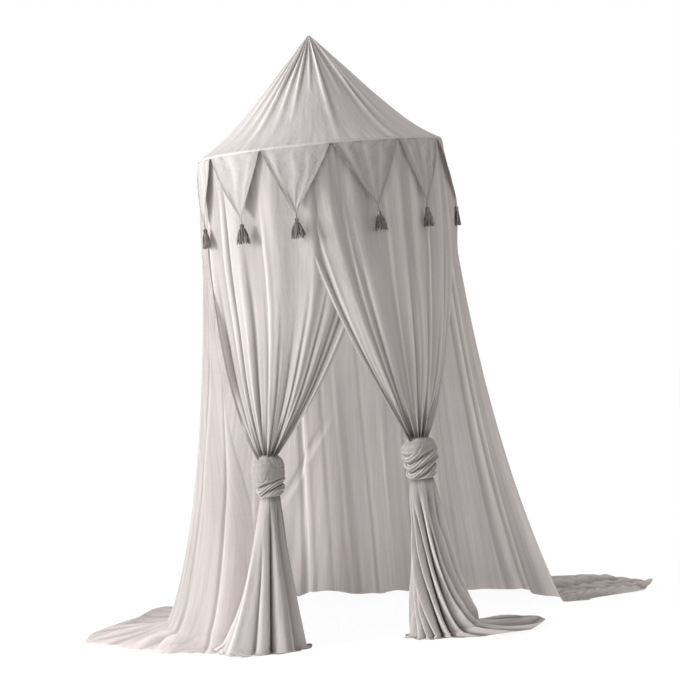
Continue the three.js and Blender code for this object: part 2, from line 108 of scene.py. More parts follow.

# %% [markdown]
# Every sheet of cloth here starts as a flat grid from bmesh, and each corner of the grid is then carried to
# its place by a formula of two shares: u across the cloth and v down it. A simulation could drape it, but a
# formula keeps each fold where the photograph shows it, and gives the same cloth on every run.
# The UV map holds the flat cloth in metres, so the weave follows the cloth through all its folds. Two
# attributes go with it for painted shade: "fold" is high on ridges and low in grooves, and gives painted
# shade in grooves and a painted highlight on ridges; the second is high on hems, near the knots and over
# most of the wall, where shade is painted onto the cloth.

# %% Cloth from a grid
# How many corners on each side a corner is compared with, and the height that counts as a full fold
FOLD_REACH = 6
FOLD_HEIGHT = 0.0022


def mix(first, second, share):
    return first + (second - first) * share


def smooth(share):
    share = np.clip(share, 0, 1)
    return share * share * (3 - 2 * share)


def grows(value, start, length):
    """0 up to start, 1 from a length beyond it, and a soft change between."""
    return smooth((value - start) / length)


def fades(value, end, length):
    """1 up to a length before end, 0 from end on, and a soft change between."""
    return smooth((end - value) / length)


def on_circle(radius, degrees, height):
    angle = np.radians(degrees)
    x, y, z = np.broadcast_arrays(radius * np.sin(angle), -radius * np.cos(angle), height)
    return np.stack([x, y, z], axis=-1)


def new_object(name, mesh, body="canopy"):
    piece = bpy.data.objects.new(name, mesh)
    bpy.context.scene.collection.objects.link(piece)
    for face in mesh.polygons:
        face.use_smooth = True
    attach(piece, body)
    return piece


def store(mesh, name, values):
    mesh.attributes.new(name, "FLOAT", "POINT").data.foreach_set("value", values.astype(np.float32))


def fold_map(corners, u, v):
    """How far a corner stands out of the cloth beside it: 1 on a ridge, 0 in a groove, 0.5 on flat cloth."""
    order = np.lexsort((u, v))
    columns = np.count_nonzero(v == v[order[0]])
    sheet = corners[order].reshape(-1, columns, 3)
    padded = np.pad(sheet, ((0, 0), (FOLD_REACH, FOLD_REACH), (0, 0)), mode="reflect", reflect_type="odd")
    total = np.cumsum(np.pad(padded, ((0, 0), (1, 0), (0, 0))), axis=1)
    window = 2 * FOLD_REACH + 1
    beside = (total[:, window:] - total[:, :-window]) / window
    normal = np.cross(np.gradient(sheet, axis=0), np.gradient(beside, axis=1))
    normal /= np.maximum(np.linalg.norm(normal, axis=2, keepdims=True), 1e-12)
    stands_out = np.sum((sheet - beside) * normal, axis=2) / FOLD_HEIGHT
    fold = np.empty(len(corners))
    fold[order] = (0.5 + 0.5 * np.tanh(stands_out)).ravel()
    return fold


def cloth(name, place, columns, rows, flat, painted_shade=None, joined=False, wound=False):
    """A sheet whose corners lie at place(u, v), with the flat cloth's metres as its UV map."""
    grid = bmesh.new()
    bmesh.ops.create_grid(grid, x_segments=columns, y_segments=rows, size=0.5)
    mesh = bpy.data.meshes.new(name)
    grid.to_mesh(mesh)
    grid.free()
    corners = np.empty(len(mesh.vertices) * 3)
    mesh.vertices.foreach_get("co", corners)
    corners = corners.reshape(-1, 3)
    u, v = corners[:, 0] + 0.5, 0.5 - corners[:, 1]
    placed = place(u, v)
    mesh.vertices.foreach_set("co", placed.ravel())
    store(mesh, "fold", 1 - fold_map(placed, v, u) if wound else fold_map(placed, u, v))
    store(mesh, "painted_shade", painted_shade(u, v) if painted_shade else np.zeros_like(u))
    uv = mesh.uv_layers.new(name="cloth")
    loops = np.empty(len(mesh.loops), dtype=int)
    mesh.loops.foreach_get("vertex_index", loops)
    uv.data.foreach_set("uv", np.stack([u * flat[0], v * flat[1]], axis=-1)[loops].ravel())
    if joined:
        seam = bmesh.new()
        seam.from_mesh(mesh)
        bmesh.ops.remove_doubles(seam, verts=seam.verts, dist=MERGE_DISTANCE)
        seam.to_mesh(mesh)
        seam.free()
    return new_object(name, mesh)


# %% [markdown]
# Folds come from a few small helpers. Scallops are cloth that sags between crests, as it does under
# gathers, and sags are scallops that each begin at a height of their own. A ridge is one pinched fold, and
# creases are a given list of them. Ripples are soft waves from a few sines with a fixed seed.

# %% Folds
# The share of the cloth's length over which a sag and a crease reach their full depth
SAG_GROWTH = 0.4
CREASE_GROWTH = 0.35


def crests(count, seed, jitter=0.3):
    """Places of the crests from 0 to 1, unevenly spaced."""
    random = np.random.default_rng(seed)
    inner = np.arange(1, count) + random.uniform(-jitter, jitter, count - 1)
    return np.concatenate([[0], inner, [count]]) / count


def hollows(share, places, softness):
    """0 at each crest and about 1 halfway to the next, and the number of the hollow at each share."""
    phase = np.interp(share, places, np.arange(len(places)))
    sag = np.sqrt(np.sin(np.pi * phase) ** 2 + softness ** 2) - softness
    return sag, np.clip(phase.astype(int), 0, len(places) - 2)


def scallops(share, places, softness):
    """Hollows between crests, deeper where the crests are further apart."""
    sag, hollow = hollows(share, places, softness)
    widths = np.diff(places) * (len(places) - 1)
    return sag * widths[hollow]


def sags(share, v, places, seed, begins, softness):
    """Hollows between crests, each with its own depth and its own height from which it sags."""
    random = np.random.default_rng(seed)
    count = len(places) - 1
    depths = random.uniform(0.3, 1.2, count) * np.diff(places) * count
    starts = random.uniform(*begins, count)
    sag, hollow = hollows(share, places, softness)
    return sag * depths[hollow] * grows(v, starts[hollow], SAG_GROWTH)


def ridge(distance, softness=0.4):
    """A pinched fold: 1 at its crest, fading on both sides within a few units of distance."""
    return np.exp(softness - np.sqrt(distance * distance + softness * softness))


def creases(share, down, rows, width):
    """Pinched lines down the cloth. Each row is a place across, a height and the share at which it begins."""
    total = np.zeros_like(down)
    for place, height, begins in rows:
        total = total + height * ridge((share - place) / width) * grows(down, begins, CREASE_GROWTH)
    return total


def ripples(u, v, seed, across, down, waves=7):
    """A soft random height from about -1 to 1, with so many waves across and down the cloth."""
    random = np.random.default_rng(seed)
    total = np.zeros(np.broadcast(u, v).shape)
    for _ in range(waves):
        turns = random.normal(0, across) * u + random.normal(0, down) * v
        total = total + np.sin(TAU * (turns + random.uniform()))
    return total / math.sqrt(waves)


print("crests of one gather:", np.round(crests(6, 1), 2))

# %% [markdown]
# The cloth is washed cotton gauze: matt, a little see-through to light, with slubs and broad bands that run
# down it, crinkles and a weave of fine threads. Principled gives the matt face, and a Translucent shader
# lets light from the far side glow through. Noise on the cloth's own UV map makes the slubs, bands and
# crinkles, and Object coordinates make the patches that washing leaves. The "fold" attribute gives painted
# shade in grooves and a painted highlight on ridges, and a second attribute gives painted shade to hems,
# to the cloth near the knots and to most of the wall.

# %% Materials
SLUB_STRETCH, SLUB_WEIGHT = (170, 5, 1), 0.50
PICK_STRETCH, PICK_WEIGHT = (6, 150, 1), 0.10
BAND_STRETCH, BAND_WEIGHT = (26, 0.9, 1), 0.24
PATCHES_PER_METRE, PATCH_WEIGHT = 2.2, 0.36
THREADS_SCALE, THREADS_DISTORTION, THREAD_WEIGHT = 190, 1.5, 0.06
CRINKLES_PER_METRE, CRINKLE_STRETCH = 17, (1, 0.55, 1)
TONE_FROM, TONE_TO = 0.42, 0.80
# The darkest and lightest random tone of the cloth, and the colour of full painted shade
DARK_SHADE, LIGHT_SHADE, FULL_PAINTED_SHADE = 0.84, 1.12, 0.45
WEAVE_BUMP, WEAVE_HEIGHT = 0.35, 0.0012
CRINKLE_BUMP, CRINKLE_HEIGHT = 0.5, 0.011
GAUZE_ROUGHNESS, GAUZE_SHEEN, GAUZE_SPECULAR = (0.82, 0.98), 0.12, 0.2
SOLID_BUMP, SOLID_HEIGHT, ROUGHNESS_SPREAD = 0.4, 0.0002, 0.08


def nodes_of(name):
    material = bpy.data.materials.new(name)
    material.use_nodes = True
    tree = material.node_tree
    tree.nodes.clear()
    return material, tree


def add(tree, kind, inputs=None, **settings):
    node = tree.nodes.new(kind)
    for key, value in settings.items():
        setattr(node, key, value)
    for key, value in (inputs or {}).items():
        if isinstance(value, bpy.types.NodeSocket):
            tree.links.new(value, node.inputs[key])
        else:
            node.inputs[key].default_value = value
    return node


def math_node(tree, operation, first, second):
    return add(tree, "ShaderNodeMath", {0: first, 1: second}, operation=operation).outputs[0]


def weighted(tree, *terms):
    """The sum of some values, each times its weight."""
    total = 0
    for value, weight in terms:
        total = math_node(tree, "ADD", total, math_node(tree, "MULTIPLY", value, weight))
    return total


def noise(tree, vector, scale, stretch=(1, 1, 1), detail=3):
    moved = add(tree, "ShaderNodeMapping", {"Vector": vector, "Scale": stretch})
    texture = add(tree, "ShaderNodeTexNoise", {"Vector": moved.outputs[0], "Scale": scale, "Detail": detail})
    return texture.outputs["Fac"]


def ramp(tree, factor, low, high, dark, light):
    node = add(tree, "ShaderNodeValToRGB", {"Fac": factor})
    for element, position, color in zip(node.color_ramp.elements, (low, high), (dark, light)):
        element.position = position
        element.color = (*color, 1)
    return node.outputs["Color"]


def multiplied(tree, color, by, share=1.0):
    """A colour multiplied by another, in full or by a share."""
    node = add(tree, "ShaderNodeMix", {0: share, 6: color, 7: by}, data_type="RGBA", blend_type="MULTIPLY")
    return node.outputs[2]


def bumped(tree, height, strength, distance, **more):
    inputs = {"Height": height, "Strength": strength, "Distance": distance, **more}
    return add(tree, "ShaderNodeBump", inputs).outputs[0]


def between(tree, value, low, high):
    return add(tree, "ShaderNodeMapRange", {"Value": value, "To Min": low, "To Max": high}).outputs[0]


def attribute(tree, name):
    return add(tree, "ShaderNodeAttribute", attribute_name=name).outputs["Fac"]


def scaled(color, share):
    return tuple(channel * share for channel in color)


def gauze(name, color, through, groove_painted_shade=0.55, ridge_painted_highlight=1.42):
    """Matt woven cotton, of which a share of the light comes through from behind."""
    material, tree = nodes_of(name)
    uv = add(tree, "ShaderNodeUVMap", uv_map="cloth").outputs[0]
    place = add(tree, "ShaderNodeTexCoord").outputs["Object"]
    slubs = noise(tree, uv, 1, SLUB_STRETCH, 4)
    picks = noise(tree, uv, 1, PICK_STRETCH, 3)
    bands = noise(tree, uv, 1, BAND_STRETCH, 2)
    patches = noise(tree, place, PATCHES_PER_METRE, detail=5)
    wave = {"Vector": uv, "Scale": THREADS_SCALE, "Distortion": THREADS_DISTORTION}
    warp, weft = (add(tree, "ShaderNodeTexWave", wave, bands_direction=way).outputs["Fac"] for way in "XY")
    threads = math_node(tree, "MULTIPLY", warp, weft)
    grain = weighted(tree, (slubs, SLUB_WEIGHT), (picks, PICK_WEIGHT))
    tone = weighted(tree, (grain, 1), (bands, BAND_WEIGHT), (patches, PATCH_WEIGHT), (threads, THREAD_WEIGHT))
    plain = ramp(tree, tone, TONE_FROM, TONE_TO, scaled(color, DARK_SHADE), scaled(color, LIGHT_SHADE))
    # Painted shade from the second attribute: on hems, near the knots and over most of the wall
    shaded = multiplied(tree, plain, (*(FULL_PAINTED_SHADE,) * 3, 1), attribute(tree, "painted_shade"))
    # Painted shade in the grooves and a painted highlight on the ridges, from the fold attribute
    painted_fold_shade = ramp(tree, attribute(tree, "fold"), 0, 1, (groove_painted_shade,) * 3, (ridge_painted_highlight,) * 3)
    surface = multiplied(tree, shaded, painted_fold_shade)
    weave = bumped(tree, weighted(tree, (threads, 0.4), (grain, 1)), WEAVE_BUMP, WEAVE_HEIGHT)
    crinkles = noise(tree, uv, CRINKLES_PER_METRE, CRINKLE_STRETCH, 3)
    bump = bumped(tree, crinkles, CRINKLE_BUMP, CRINKLE_HEIGHT, Normal=weave)
    face = add(tree, "ShaderNodeBsdfPrincipled", {
        "Base Color": surface, "Roughness": between(tree, picks, *GAUZE_ROUGHNESS), "Normal": bump,
        "Sheen Weight": GAUZE_SHEEN, "Specular IOR Level": GAUZE_SPECULAR})
    glow = add(tree, "ShaderNodeBsdfTranslucent", {"Color": surface, "Normal": bump})
    both = add(tree, "ShaderNodeMixShader", {0: through, 1: face.outputs[0], 2: glow.outputs[0]})
    add(tree, "ShaderNodeOutputMaterial", {"Surface": both.outputs[0]})
    return material


def solid(name, color, roughness, metallic, scale, spread, stretch=(1, 1, 1)):
    """Yarn, tape, paint or metal: a colour that varies a little, with a fine bump."""
    material, tree = nodes_of(name)
    place = add(tree, "ShaderNodeTexCoord").outputs["Object"]
    fine = noise(tree, place, scale, stretch, 5)
    tone = ramp(tree, fine, 0.3, 0.7, scaled(color, 1 - spread), scaled(color, 1 + spread))
    rough = between(tree, fine, roughness - ROUGHNESS_SPREAD, roughness + ROUGHNESS_SPREAD)
    bump = bumped(tree, fine, SOLID_BUMP, SOLID_HEIGHT)
    face = add(tree, "ShaderNodeBsdfPrincipled", {
        "Base Color": tone, "Roughness": rough, "Normal": bump, "Metallic": metallic})
    add(tree, "ShaderNodeOutputMaterial", {"Surface": face.outputs[0]})
    return material


# One gauze for all cloth: the wall's copy is lighter (painted light), the roof's, pennants' and knots' darker
# (painted shade)
GAUZE_COLOR = (0.60, 0.553, 0.540)
# Each copy's groove and ridge values set its painted fold shade and highlight
curtain_gauze = gauze("curtain_gauze", GAUZE_COLOR, through=0.38)
wall_gauze = gauze("wall_gauze", scaled(GAUZE_COLOR, 1.13), through=0.5, groove_painted_shade=0.70, ridge_painted_highlight=1.24)
roof_gauze = gauze("roof_gauze", scaled(GAUZE_COLOR, 0.96), through=0.12)
pennant_shaded_color = scaled(GAUZE_COLOR, 0.76)
pennant_gauze = gauze("pennant_gauze", pennant_shaded_color, through=0.06, groove_painted_shade=0.72, ridge_painted_highlight=1.18)
tail_gauze = gauze("tail_gauze", GAUZE_COLOR, through=0.25, groove_painted_shade=0.30, ridge_painted_highlight=1.50)
knot_shaded_color = (0.358, 0.325, 0.312)
knot_gauze = gauze("knot_gauze", knot_shaded_color, through=0.03, groove_painted_shade=0.26, ridge_painted_highlight=1.55)
yarn = solid("tassel_yarn", (0.19, 0.163, 0.157), 0.88, 0, 230, 0.92, (1, 1, 0.08))
tape_web = solid("tape_web", (0.58, 0.53, 0.5), 0.9, 0, 900, 0.15)
hoop_paint = solid("hoop_paint", (0.78, 0.77, 0.74), 0.42, 0, 60, 0.05)
steel = solid("steel", (0.56, 0.57, 0.58), 0.32, 1, 240, 0.1)
print("materials:", len(bpy.data.materials))


def paint(piece, material):
    piece.data.materials.clear()
    piece.data.materials.append(material)


def finish_piece(piece, material, slot, *nodes):
    paint(piece, material)
    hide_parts(*nodes)
    return piece


def as_sheet(piece, flat, cut_area=None):
    """Prints how a cloth's area compares with the area of its flat cut."""
    area = sum(face.area for face in piece.data.polygons)
    cut = cut_area or flat[0] * flat[1]
    print(f"{piece.name}: {area:.3f} m2 of cloth from a cut of {cut:.3f} m2, share {area / cut:.2f}")


# %% [markdown]
# The roof is a cone whose sides sag a little, drawn down from the tip over the hoop. Pulled cloth makes
# tension folds that start at the tip, are sharpest a little below it and die out towards the rim. Each one
# here has its own direction, depth and length: those in front lie where the photograph shows them.

# %% Roof
CONE_STRAIGHT_SHARE = 0.9
CONE_FLARE_POWER = 9
ROOF_ARC_SHARE = 0.07
RIM_WRAP_DEGREES = 20
TIP_HOLE_RADIUS = 0.0035
TIP_DIP = 0.005
FOLD_PEAK_SHARE = 0.2
FOLD_DEPTHS_SCALE = 1.7
FOLD_WIDTH, FOLD_WIDENING = 0.0012, 0.013
GROOVE_SHARE, GROOVE_PLACE = 0.45, 1.6
ROOF_SWELL, RIM_WRINKLE = 0.003, 0.0013
ROOF_METRES, ROOF_FLAT = (3.12, 0.68), (1.02, 1.02)
# Each fold of the roof: degrees round the canopy, height in metres, how far down it reaches
FRONT_FOLDS = [
    (-72, 0.005, 0.9), (-58, 0.007, 1.0), (-47, 0.007, 0.95), (-38, 0.013, 1.1), (-27, 0.008, 0.9),
    (-17, 0.010, 0.8), (-4, 0.006, 0.55), (9, 0.012, 1.0), (24, 0.005, 0.6), (36, 0.015, 1.1),
    (45, 0.007, 0.9), (66, 0.005, 0.8),
]
HIDDEN_FOLDS, HIDDEN_FROM_DEGREES, HIDDEN_DEGREES = 15, 85, 190


def roof_folds():
    random = np.random.default_rng(5)
    hidden = [
        (HIDDEN_FROM_DEGREES + HIDDEN_DEGREES * (index + random.uniform(0.1, 0.9)) / HIDDEN_FOLDS,
         random.uniform(0.003, 0.007), random.uniform(0.55, 1.05))
        for index in range(HIDDEN_FOLDS)
    ]
    return FRONT_FOLDS + hidden


def roof_place(u, v):
    flare = mix(CONE_FLARE_POWER, 1, CONE_STRAIGHT_SHARE)
    end_angle = math.atan(HOOP_RADIUS * flare / (TIP_Z - RIM_Z))
    end_radius = HOOP_RADIUS + WRAP_RADIUS * math.cos(end_angle)
    end_depth = TIP_Z - RIM_Z - WRAP_RADIUS * math.sin(end_angle)
    degrees = FIRST_VALLEY_DEGREES + 360 * u
    tip_share = TIP_HOLE_RADIUS / (CONE_STRAIGHT_SHARE * end_radius)
    along = mix(tip_share, 1, np.clip(v / (1 - ROOF_ARC_SHARE), 0, 1))
    radius = end_radius * mix(along ** CONE_FLARE_POWER, along, CONE_STRAIGHT_SHARE)
    near = along / FOLD_PEAK_SHARE
    rise = -TIP_DIP * near * np.exp(1 - near ** 0.8)
    width = FOLD_WIDTH + FOLD_WIDENING * along
    for place, depth, reach in roof_folds():
        turn = (degrees - place + 180) % 360 - 180
        strength = FOLD_DEPTHS_SCALE * depth * near * np.exp(1 - near ** 0.8)
        strength = strength * np.clip(1 - along / reach, 0, 1) ** 0.6
        beside = np.radians(turn) * radius / width
        rise = rise + strength * (ridge(beside) - GROOVE_SHARE * ridge(beside - GROOVE_PLACE))
    rise = rise + ROOF_SWELL * ripples(u, v, 11, 6, 1.2) * smooth(along * 2) * (1 - along)
    arc = np.clip(v - (1 - ROOF_ARC_SHARE), 0, 1) / ROOF_ARC_SHARE
    angle = mix(end_angle, -math.radians(RIM_WRAP_DEGREES), arc)
    wrinkle = RIM_WRINKLE * ripples(u, v, 12, 55, 0.5) * smooth((v - 0.80) * 6)
    cone = on_circle(radius + rise, degrees, TIP_Z - end_depth * along + 0.5 * wrinkle)
    wrap = WRAP_RADIUS + 0.3 * wrinkle * (1 - arc)
    rim = on_circle(HOOP_RADIUS + wrap * np.cos(angle), degrees, RIM_Z + wrap * np.sin(angle))
    return np.where((arc > 0)[:, None], rim, cone)


roof = cloth("roof", roof_place, 520, 150, ROOF_METRES, joined=True)
finish_piece(roof, roof_gauze, "gauze", "roof_cone")
as_sheet(roof, ROOF_FLAT)
print("roof faces:", len(roof.data.polygons))

# %% [markdown]
# The valance is eleven pointed pennants of cloth in two layers. Each is a piece of the cylinder round the
# hoop that narrows to its tip. The edges are turned over twice into a thicker band with a line of stitches
# beside it, and painted shade darkens the band and the stitch line. Columns crowd towards the edges, so that
# the hem's small step has corners to use.

# %% Pennants
PENNANT_LENGTH = 0.25
PENNANT_TIP_WIDTH = 0.007
PENNANT_CUT_SHARE = 0.52
PENNANT_OVERLAP, PENNANT_TUCK = 0.003, 0.0012
PENNANT_BELLY, PENNANT_SAG, PENNANT_SWELL, PENNANT_CRINKLE = 0.006, 0.0045, 0.0014, 0.0013
PENNANT_CURL, CURL_WIDTH = 0.0035, 0.022
PENNANT_HEM_WIDTH, PENNANT_HEM_RISE = 0.009, 0.0011
HEM_EDGE, STITCH_WIDTH = 0.0012, 0.0015
# Painted shade on the hem band and its stitch line, and the shade above which the hem stands raised
HEM_PAINTED_SHADE, STITCH_PAINTED_SHADE, RAISED_FROM = 0.36, 0.12, 0.19
CROWDING_POWER = 1.6
SLIT_HALF_WIDTH = 0.0035
PENNANT_TOP_RADIUS = HOOP_RADIUS + WRAP_RADIUS * math.cos(math.radians(RIM_WRAP_DEGREES))
PENNANT_TOP_Z = RIM_Z - WRAP_RADIUS * math.sin(math.radians(RIM_WRAP_DEGREES))


def label(index):
    return f"{index + 1:02d}"


def tip_of(index):
    return Vector(joints[f"cord_swing_{label(index)}"]["pos_m"])


def pennant_place(index):
    tip = tip_of(index)
    tip_radius = math.hypot(tip.x, tip.y)
    tip_degrees = math.degrees(math.atan2(tip.x, -tip.y))
    middle = FIRST_VALLEY_DEGREES + (index + 0.5) * 360 / PENNANTS
    lean = (tip_degrees - middle + 180) % 360 - 180
    top_half = math.pi * PENNANT_TOP_RADIUS / PENNANTS - SLIT_HALF_WIDTH
    top_z = PENNANT_TOP_Z + PENNANT_OVERLAP

    def half_width(v):
        return mix(top_half, PENNANT_TIP_WIDTH / 2, v) + PENNANT_BELLY * np.sin(np.pi * v) * (1 - v)

    def across(u):
        side = 2 * u - 1
        return np.sign(side) * (1 - (1 - np.abs(side)) ** CROWDING_POWER)

    # Painted shade on the hem band and its stitch line; it also marks where the hem is raised
    def hem(u, v):
        edge = half_width(v) * (1 - np.abs(across(u)))
        band = 1 - grows(edge, PENNANT_HEM_WIDTH, HEM_EDGE)
        stitches = smooth(1 - np.abs(edge - PENNANT_HEM_WIDTH) / STITCH_WIDTH)
        return band * (HEM_PAINTED_SHADE + STITCH_PAINTED_SHADE * stitches)

    def place(u, v):
        radius = mix(PENNANT_TOP_RADIUS - PENNANT_TUCK * smooth(1 - v * 14), tip_radius, v)
        side = across(u)
        soft = scallops(u + 0.04 * ripples(u, v, 40 + index, 0.6, 0.8), crests(4, 20 + index), 0.3)
        folds = -PENNANT_SAG * soft * smooth(v * 5 + 0.1) * (1 - v) ** 0.5
        folds = folds + PENNANT_SWELL * ripples(u, v, 60 + index, 3, 2) * (1 - v)
        crinkle = np.abs(ripples(u + 0.3 * v, v, 80 + index, 3.5, 2.5))
        folds = folds - PENNANT_CRINKLE * smooth(1 - crinkle / 0.3) * (1 - v) ** 0.5
        edge = half_width(v) * (1 - np.abs(side))
        curl = PENNANT_CURL * smooth(1 - edge / CURL_WIDTH) * np.sin(np.pi * v) ** 0.5
        radius = radius + folds + curl + PENNANT_HEM_RISE * (hem(u, v) > RAISED_FROM)
        spread = np.degrees(half_width(v) * side / PENNANT_TOP_RADIUS)
        return on_circle(radius, middle + lean * v + spread, mix(top_z, tip.z, v))

    return place, hem


def make_pennant(index):
    place, hem = pennant_place(index)
    width = TAU * PENNANT_TOP_RADIUS / PENNANTS
    piece = cloth(f"pennant_cloth_{label(index)}", place, 64, 60, (width, PENNANT_LENGTH), hem)
    finish_piece(piece, pennant_gauze, "gauze", f"pennant_{label(index)}")
    cut_area = PENNANT_CUT_SHARE * width * PENNANT_LENGTH
    as_sheet(piece, (width, PENNANT_LENGTH), cut_area)
    return piece


pennant_pieces = [make_pennant(index) for index in range(PENNANTS)]
print("pennants:", len(pennant_pieces), "each", len(pennant_pieces[0].data.polygons), "faces")

# %% [markdown]
# A front curtain hangs from a third of the hoop and is drawn in to its knot. Each thread falls straight at
# first and then swings in, the outer ones later than the inner ones, which gives the curtain its long curve.
# Between the gathers at the hoop and the knot the cloth forms broad hollows, with pinched creases placed
# one by one and finer sags over them. At the neck it is drawn into deep pleats, and painted shade darkens
# the lower half of the curtain and the neck most of all.

# %% Curtains
NECK_WIDTH, NECK_DEPTH = 0.068, 0.048
CURTAIN_TUCK = 0.014
CURTAIN_LAYER, CURTAIN_BULGE = 0.0025, 0.012
CURTAIN_FULLNESS, HOLLOW_DEPTH, SAG_DEPTH = 0.008, 0.020, 0.007
CURTAIN_SWELL, GATHER_WRINKLE = 0.005, 0.0012
CREASE_WIDTH_SHARE = 0.012
CURTAIN_METRES, CURTAIN_FLAT = (1.5, 1.22), (0.86, 1.18)
# Width, softness and painted shade of the hems along the side edges
EDGE_HEM_WIDTH, EDGE_HEM_SOFTNESS, EDGE_HEM_PAINTED_SHADE = 0.012, 0.003, 0.12
# Where each curtain starts and ends on the hoop, in degrees, and how late its edges swing in to the knot.
# Each crease: place across the cloth, height in metres, share down where it begins
CURTAINS = {
    "left": {
        "side": -1, "inner": 22, "outer": -86, "inner_hang": 2.2, "outer_hang": 4, "seed": 100, "relief": 1,
        "creases": [
            (0.03, 0.006, 0), (0.075, -0.010, 0.25), (0.12, -0.008, 0.35), (0.165, 0.005, 0.4),
            (0.20, -0.010, 0.3), (0.26, 0.005, 0.45), (0.29, -0.009, 0.35), (0.355, -0.007, 0.5),
            (0.43, -0.006, 0.4), (0.485, 0.011, 0.1), (0.52, -0.007, 0.35), (0.60, -0.009, 0.25),
            (0.63, 0.006, 0.2), (0.715, -0.012, 0), (0.745, 0.010, 0), (0.83, -0.007, 0.3),
            (0.87, 0.006, 0.1),
        ],
    },
    "right": {
        "side": 1, "inner": -18, "outer": 83, "inner_hang": 1.5, "outer_hang": 3, "seed": 200, "relief": 0.72,
        "creases": [
            (0.025, 0.007, 0), (0.06, -0.008, 0), (0.095, 0.006, 0), (0.17, -0.005, 0.5), (0.25, 0.009, 0.15),
            (0.285, -0.008, 0.3), (0.38, -0.006, 0.6), (0.46, 0.005, 0), (0.56, -0.008, 0.35),
            (0.60, 0.006, 0.4), (0.70, -0.009, 0.4), (0.735, 0.008, 0.05), (0.83, -0.007, 0.5),
            (0.90, -0.008, 0.3), (0.93, 0.006, 0.3),
        ],
    },
}


def curtain_place(name):
    form = CURTAINS[name]
    side, seed = form["side"], form["seed"]
    foot_z = KNOT_TOP_Z + KNOT_RAISE[name] - CURTAIN_TUCK

    def place(u, v):
        degrees = mix(form["inner"], form["outer"], u)
        rim = on_circle(HOOP_RADIUS + side * CURTAIN_LAYER, degrees, CURTAIN_TOP_Z)
        drawn = v ** mix(form["inner_hang"], form["outer_hang"], u)
        x = mix(rim[:, 0], KNOT_X[name] + side * NECK_WIDTH * (u - 0.5), drawn)
        y = mix(rim[:, 1], KNOT_Y, drawn) - side * CURTAIN_BULGE * np.sin(np.pi * v) ** 2
        angle = np.radians(degrees) * (1 - drawn)
        drift = u + 0.010 * ripples(u, v, seed, 0.8, 0.9) * np.sin(np.pi * v)
        broad = scallops(drift + 0.03 * (1 - v), crests(6, seed + 6, 0.3), 0.5)
        fine = sags(drift, v, crests(24, seed + 2, 0.45), seed + 7, (0.45, 1.1), 0.25)
        neck = grows(v, 0.76, 0.24) ** 2
        hollow = HOLLOW_DEPTH * (broad - 0.3) * smooth(v * 6) * (1 - neck)
        depth = CURTAIN_FULLNESS * v - hollow - SAG_DEPTH * v * fine
        pinched = form["relief"] * creases(drift, v, form["creases"], CREASE_WIDTH_SHARE)
        depth = depth + pinched * smooth(v * 8) * (1 - 0.4 * neck)
        pleats = sags(drift, v, crests(6, seed + 4, 0.44), seed + 8, (-1, -0.5), 0.08)
        depth = depth + neck * (NECK_DEPTH * (0.5 - 1.1 * pleats))
        swell = CURTAIN_SWELL * ripples(u, v, seed + 5, 2.4, 0.7)
        depth = depth + swell * (0.25 + np.sin(np.pi * v) * 0.75)
        depth = depth + GATHER_WRINKLE * ripples(u, v, seed + 9, 26, 2) * np.exp(-v / 0.06)
        z = mix(CURTAIN_TOP_Z, foot_z, v)
        return np.stack([x + depth * np.sin(angle), y - depth * np.cos(angle), z], axis=-1)

    return place


def edge_hem(metres):
    """Painted shade on the hems along both side edges of a cloth that is so many metres wide."""
    def hem(u, v):
        edge = np.minimum(u, 1 - u) * metres
        return EDGE_HEM_PAINTED_SHADE * (1 - grows(edge, EDGE_HEM_WIDTH, EDGE_HEM_SOFTNESS))
    return hem


def make_curtain(name):
    place = curtain_place(name)
    facing = place if CURTAINS[name]["side"] > 0 else lambda u, v: place(1 - u, v)
    hem = edge_hem(CURTAIN_METRES[0])

    def painted_shade(u, v):
        # Painted shade: the edge hems, the lower half towards the knot, and the neck most of all
        return hem(u, v) + 0.32 * grows(v, 0.48, 0.42) + 0.6 * grows(v, 0.955, 0.035)

    piece = cloth(f"curtain_cloth_{name}", facing, 300, 300, CURTAIN_METRES, painted_shade)
    finish_piece(piece, curtain_gauze, "gauze", f"curtain_{name}")
    as_sheet(piece, CURTAIN_FLAT)
    return piece


curtains = [make_curtain(name) for name in CURTAINS]
print("curtain faces:", len(curtains[0].data.polygons))

# %% [markdown]
# The back wall is three widths of cloth sewn side by side. It hangs in broad flutes that open towards the
# floor, flares out evenly, and ends in a hem that lies on the floor, with crumples and a rolled edge. The
# bend at the floor is round, because cloth doesn't crease there: the height is a smooth maximum of the
# hanging cloth and the floor. Near the left knot a pinched fold slants across the other folds.

# %% Back wall
WALL_START, WALL_END = 85, 272
WALL_START_DRIFT, WALL_END_DRIFT = 3, 30
WALL_FORWARD_SHARE = 0.5
WALL_CURL_DEGREES = 12
CURL_FROM_SHARE, CURL_SHARE = 0.4, 0.4
FLUTE_DEPTH, FINE_FLUTE_DEPTH, WALL_SWELL = 0.013, 0.0012, 0.005
WALL_CREASE_DEGREES = 1.3
# Listed folds of the wall: degrees round the canopy, height in metres, share down where it begins
WALL_CREASES = [
    (97, -0.004, 0.2), (105.5, 0.011, 0), (108, -0.006, 0), (110.5, 0.013, 0), (113, -0.008, 0),
    (125, -0.004, 0.3), (137, 0.004, 0.2), (151, -0.006, 0.3), (163, 0.004, 0.4), (172, -0.005, 0.2),
    (184, 0.006, 0.3), (191, -0.008, 0.15), (198, 0.018, 0.3), (201, -0.012, 0.3), (222, 0.006, 0.2),
    (250, -0.006, 0.1), (268, -0.005, 0.1), (281, 0.006, 0), (287, -0.008, 0.1), (291, 0.005, 0.15),
    (302, -0.018, 0.35),
]
# The slanting fold: its height, the degrees of its groove and crest where it crosses, its width and slope
SLANT_HEIGHT, SLANT_GROOVE, SLANT_CREST = 0.010, 198.5, 195
SLANT_WIDTH, SLANT_SLOPE, SLANT_CROSSES = 1.6, 110, 0.66
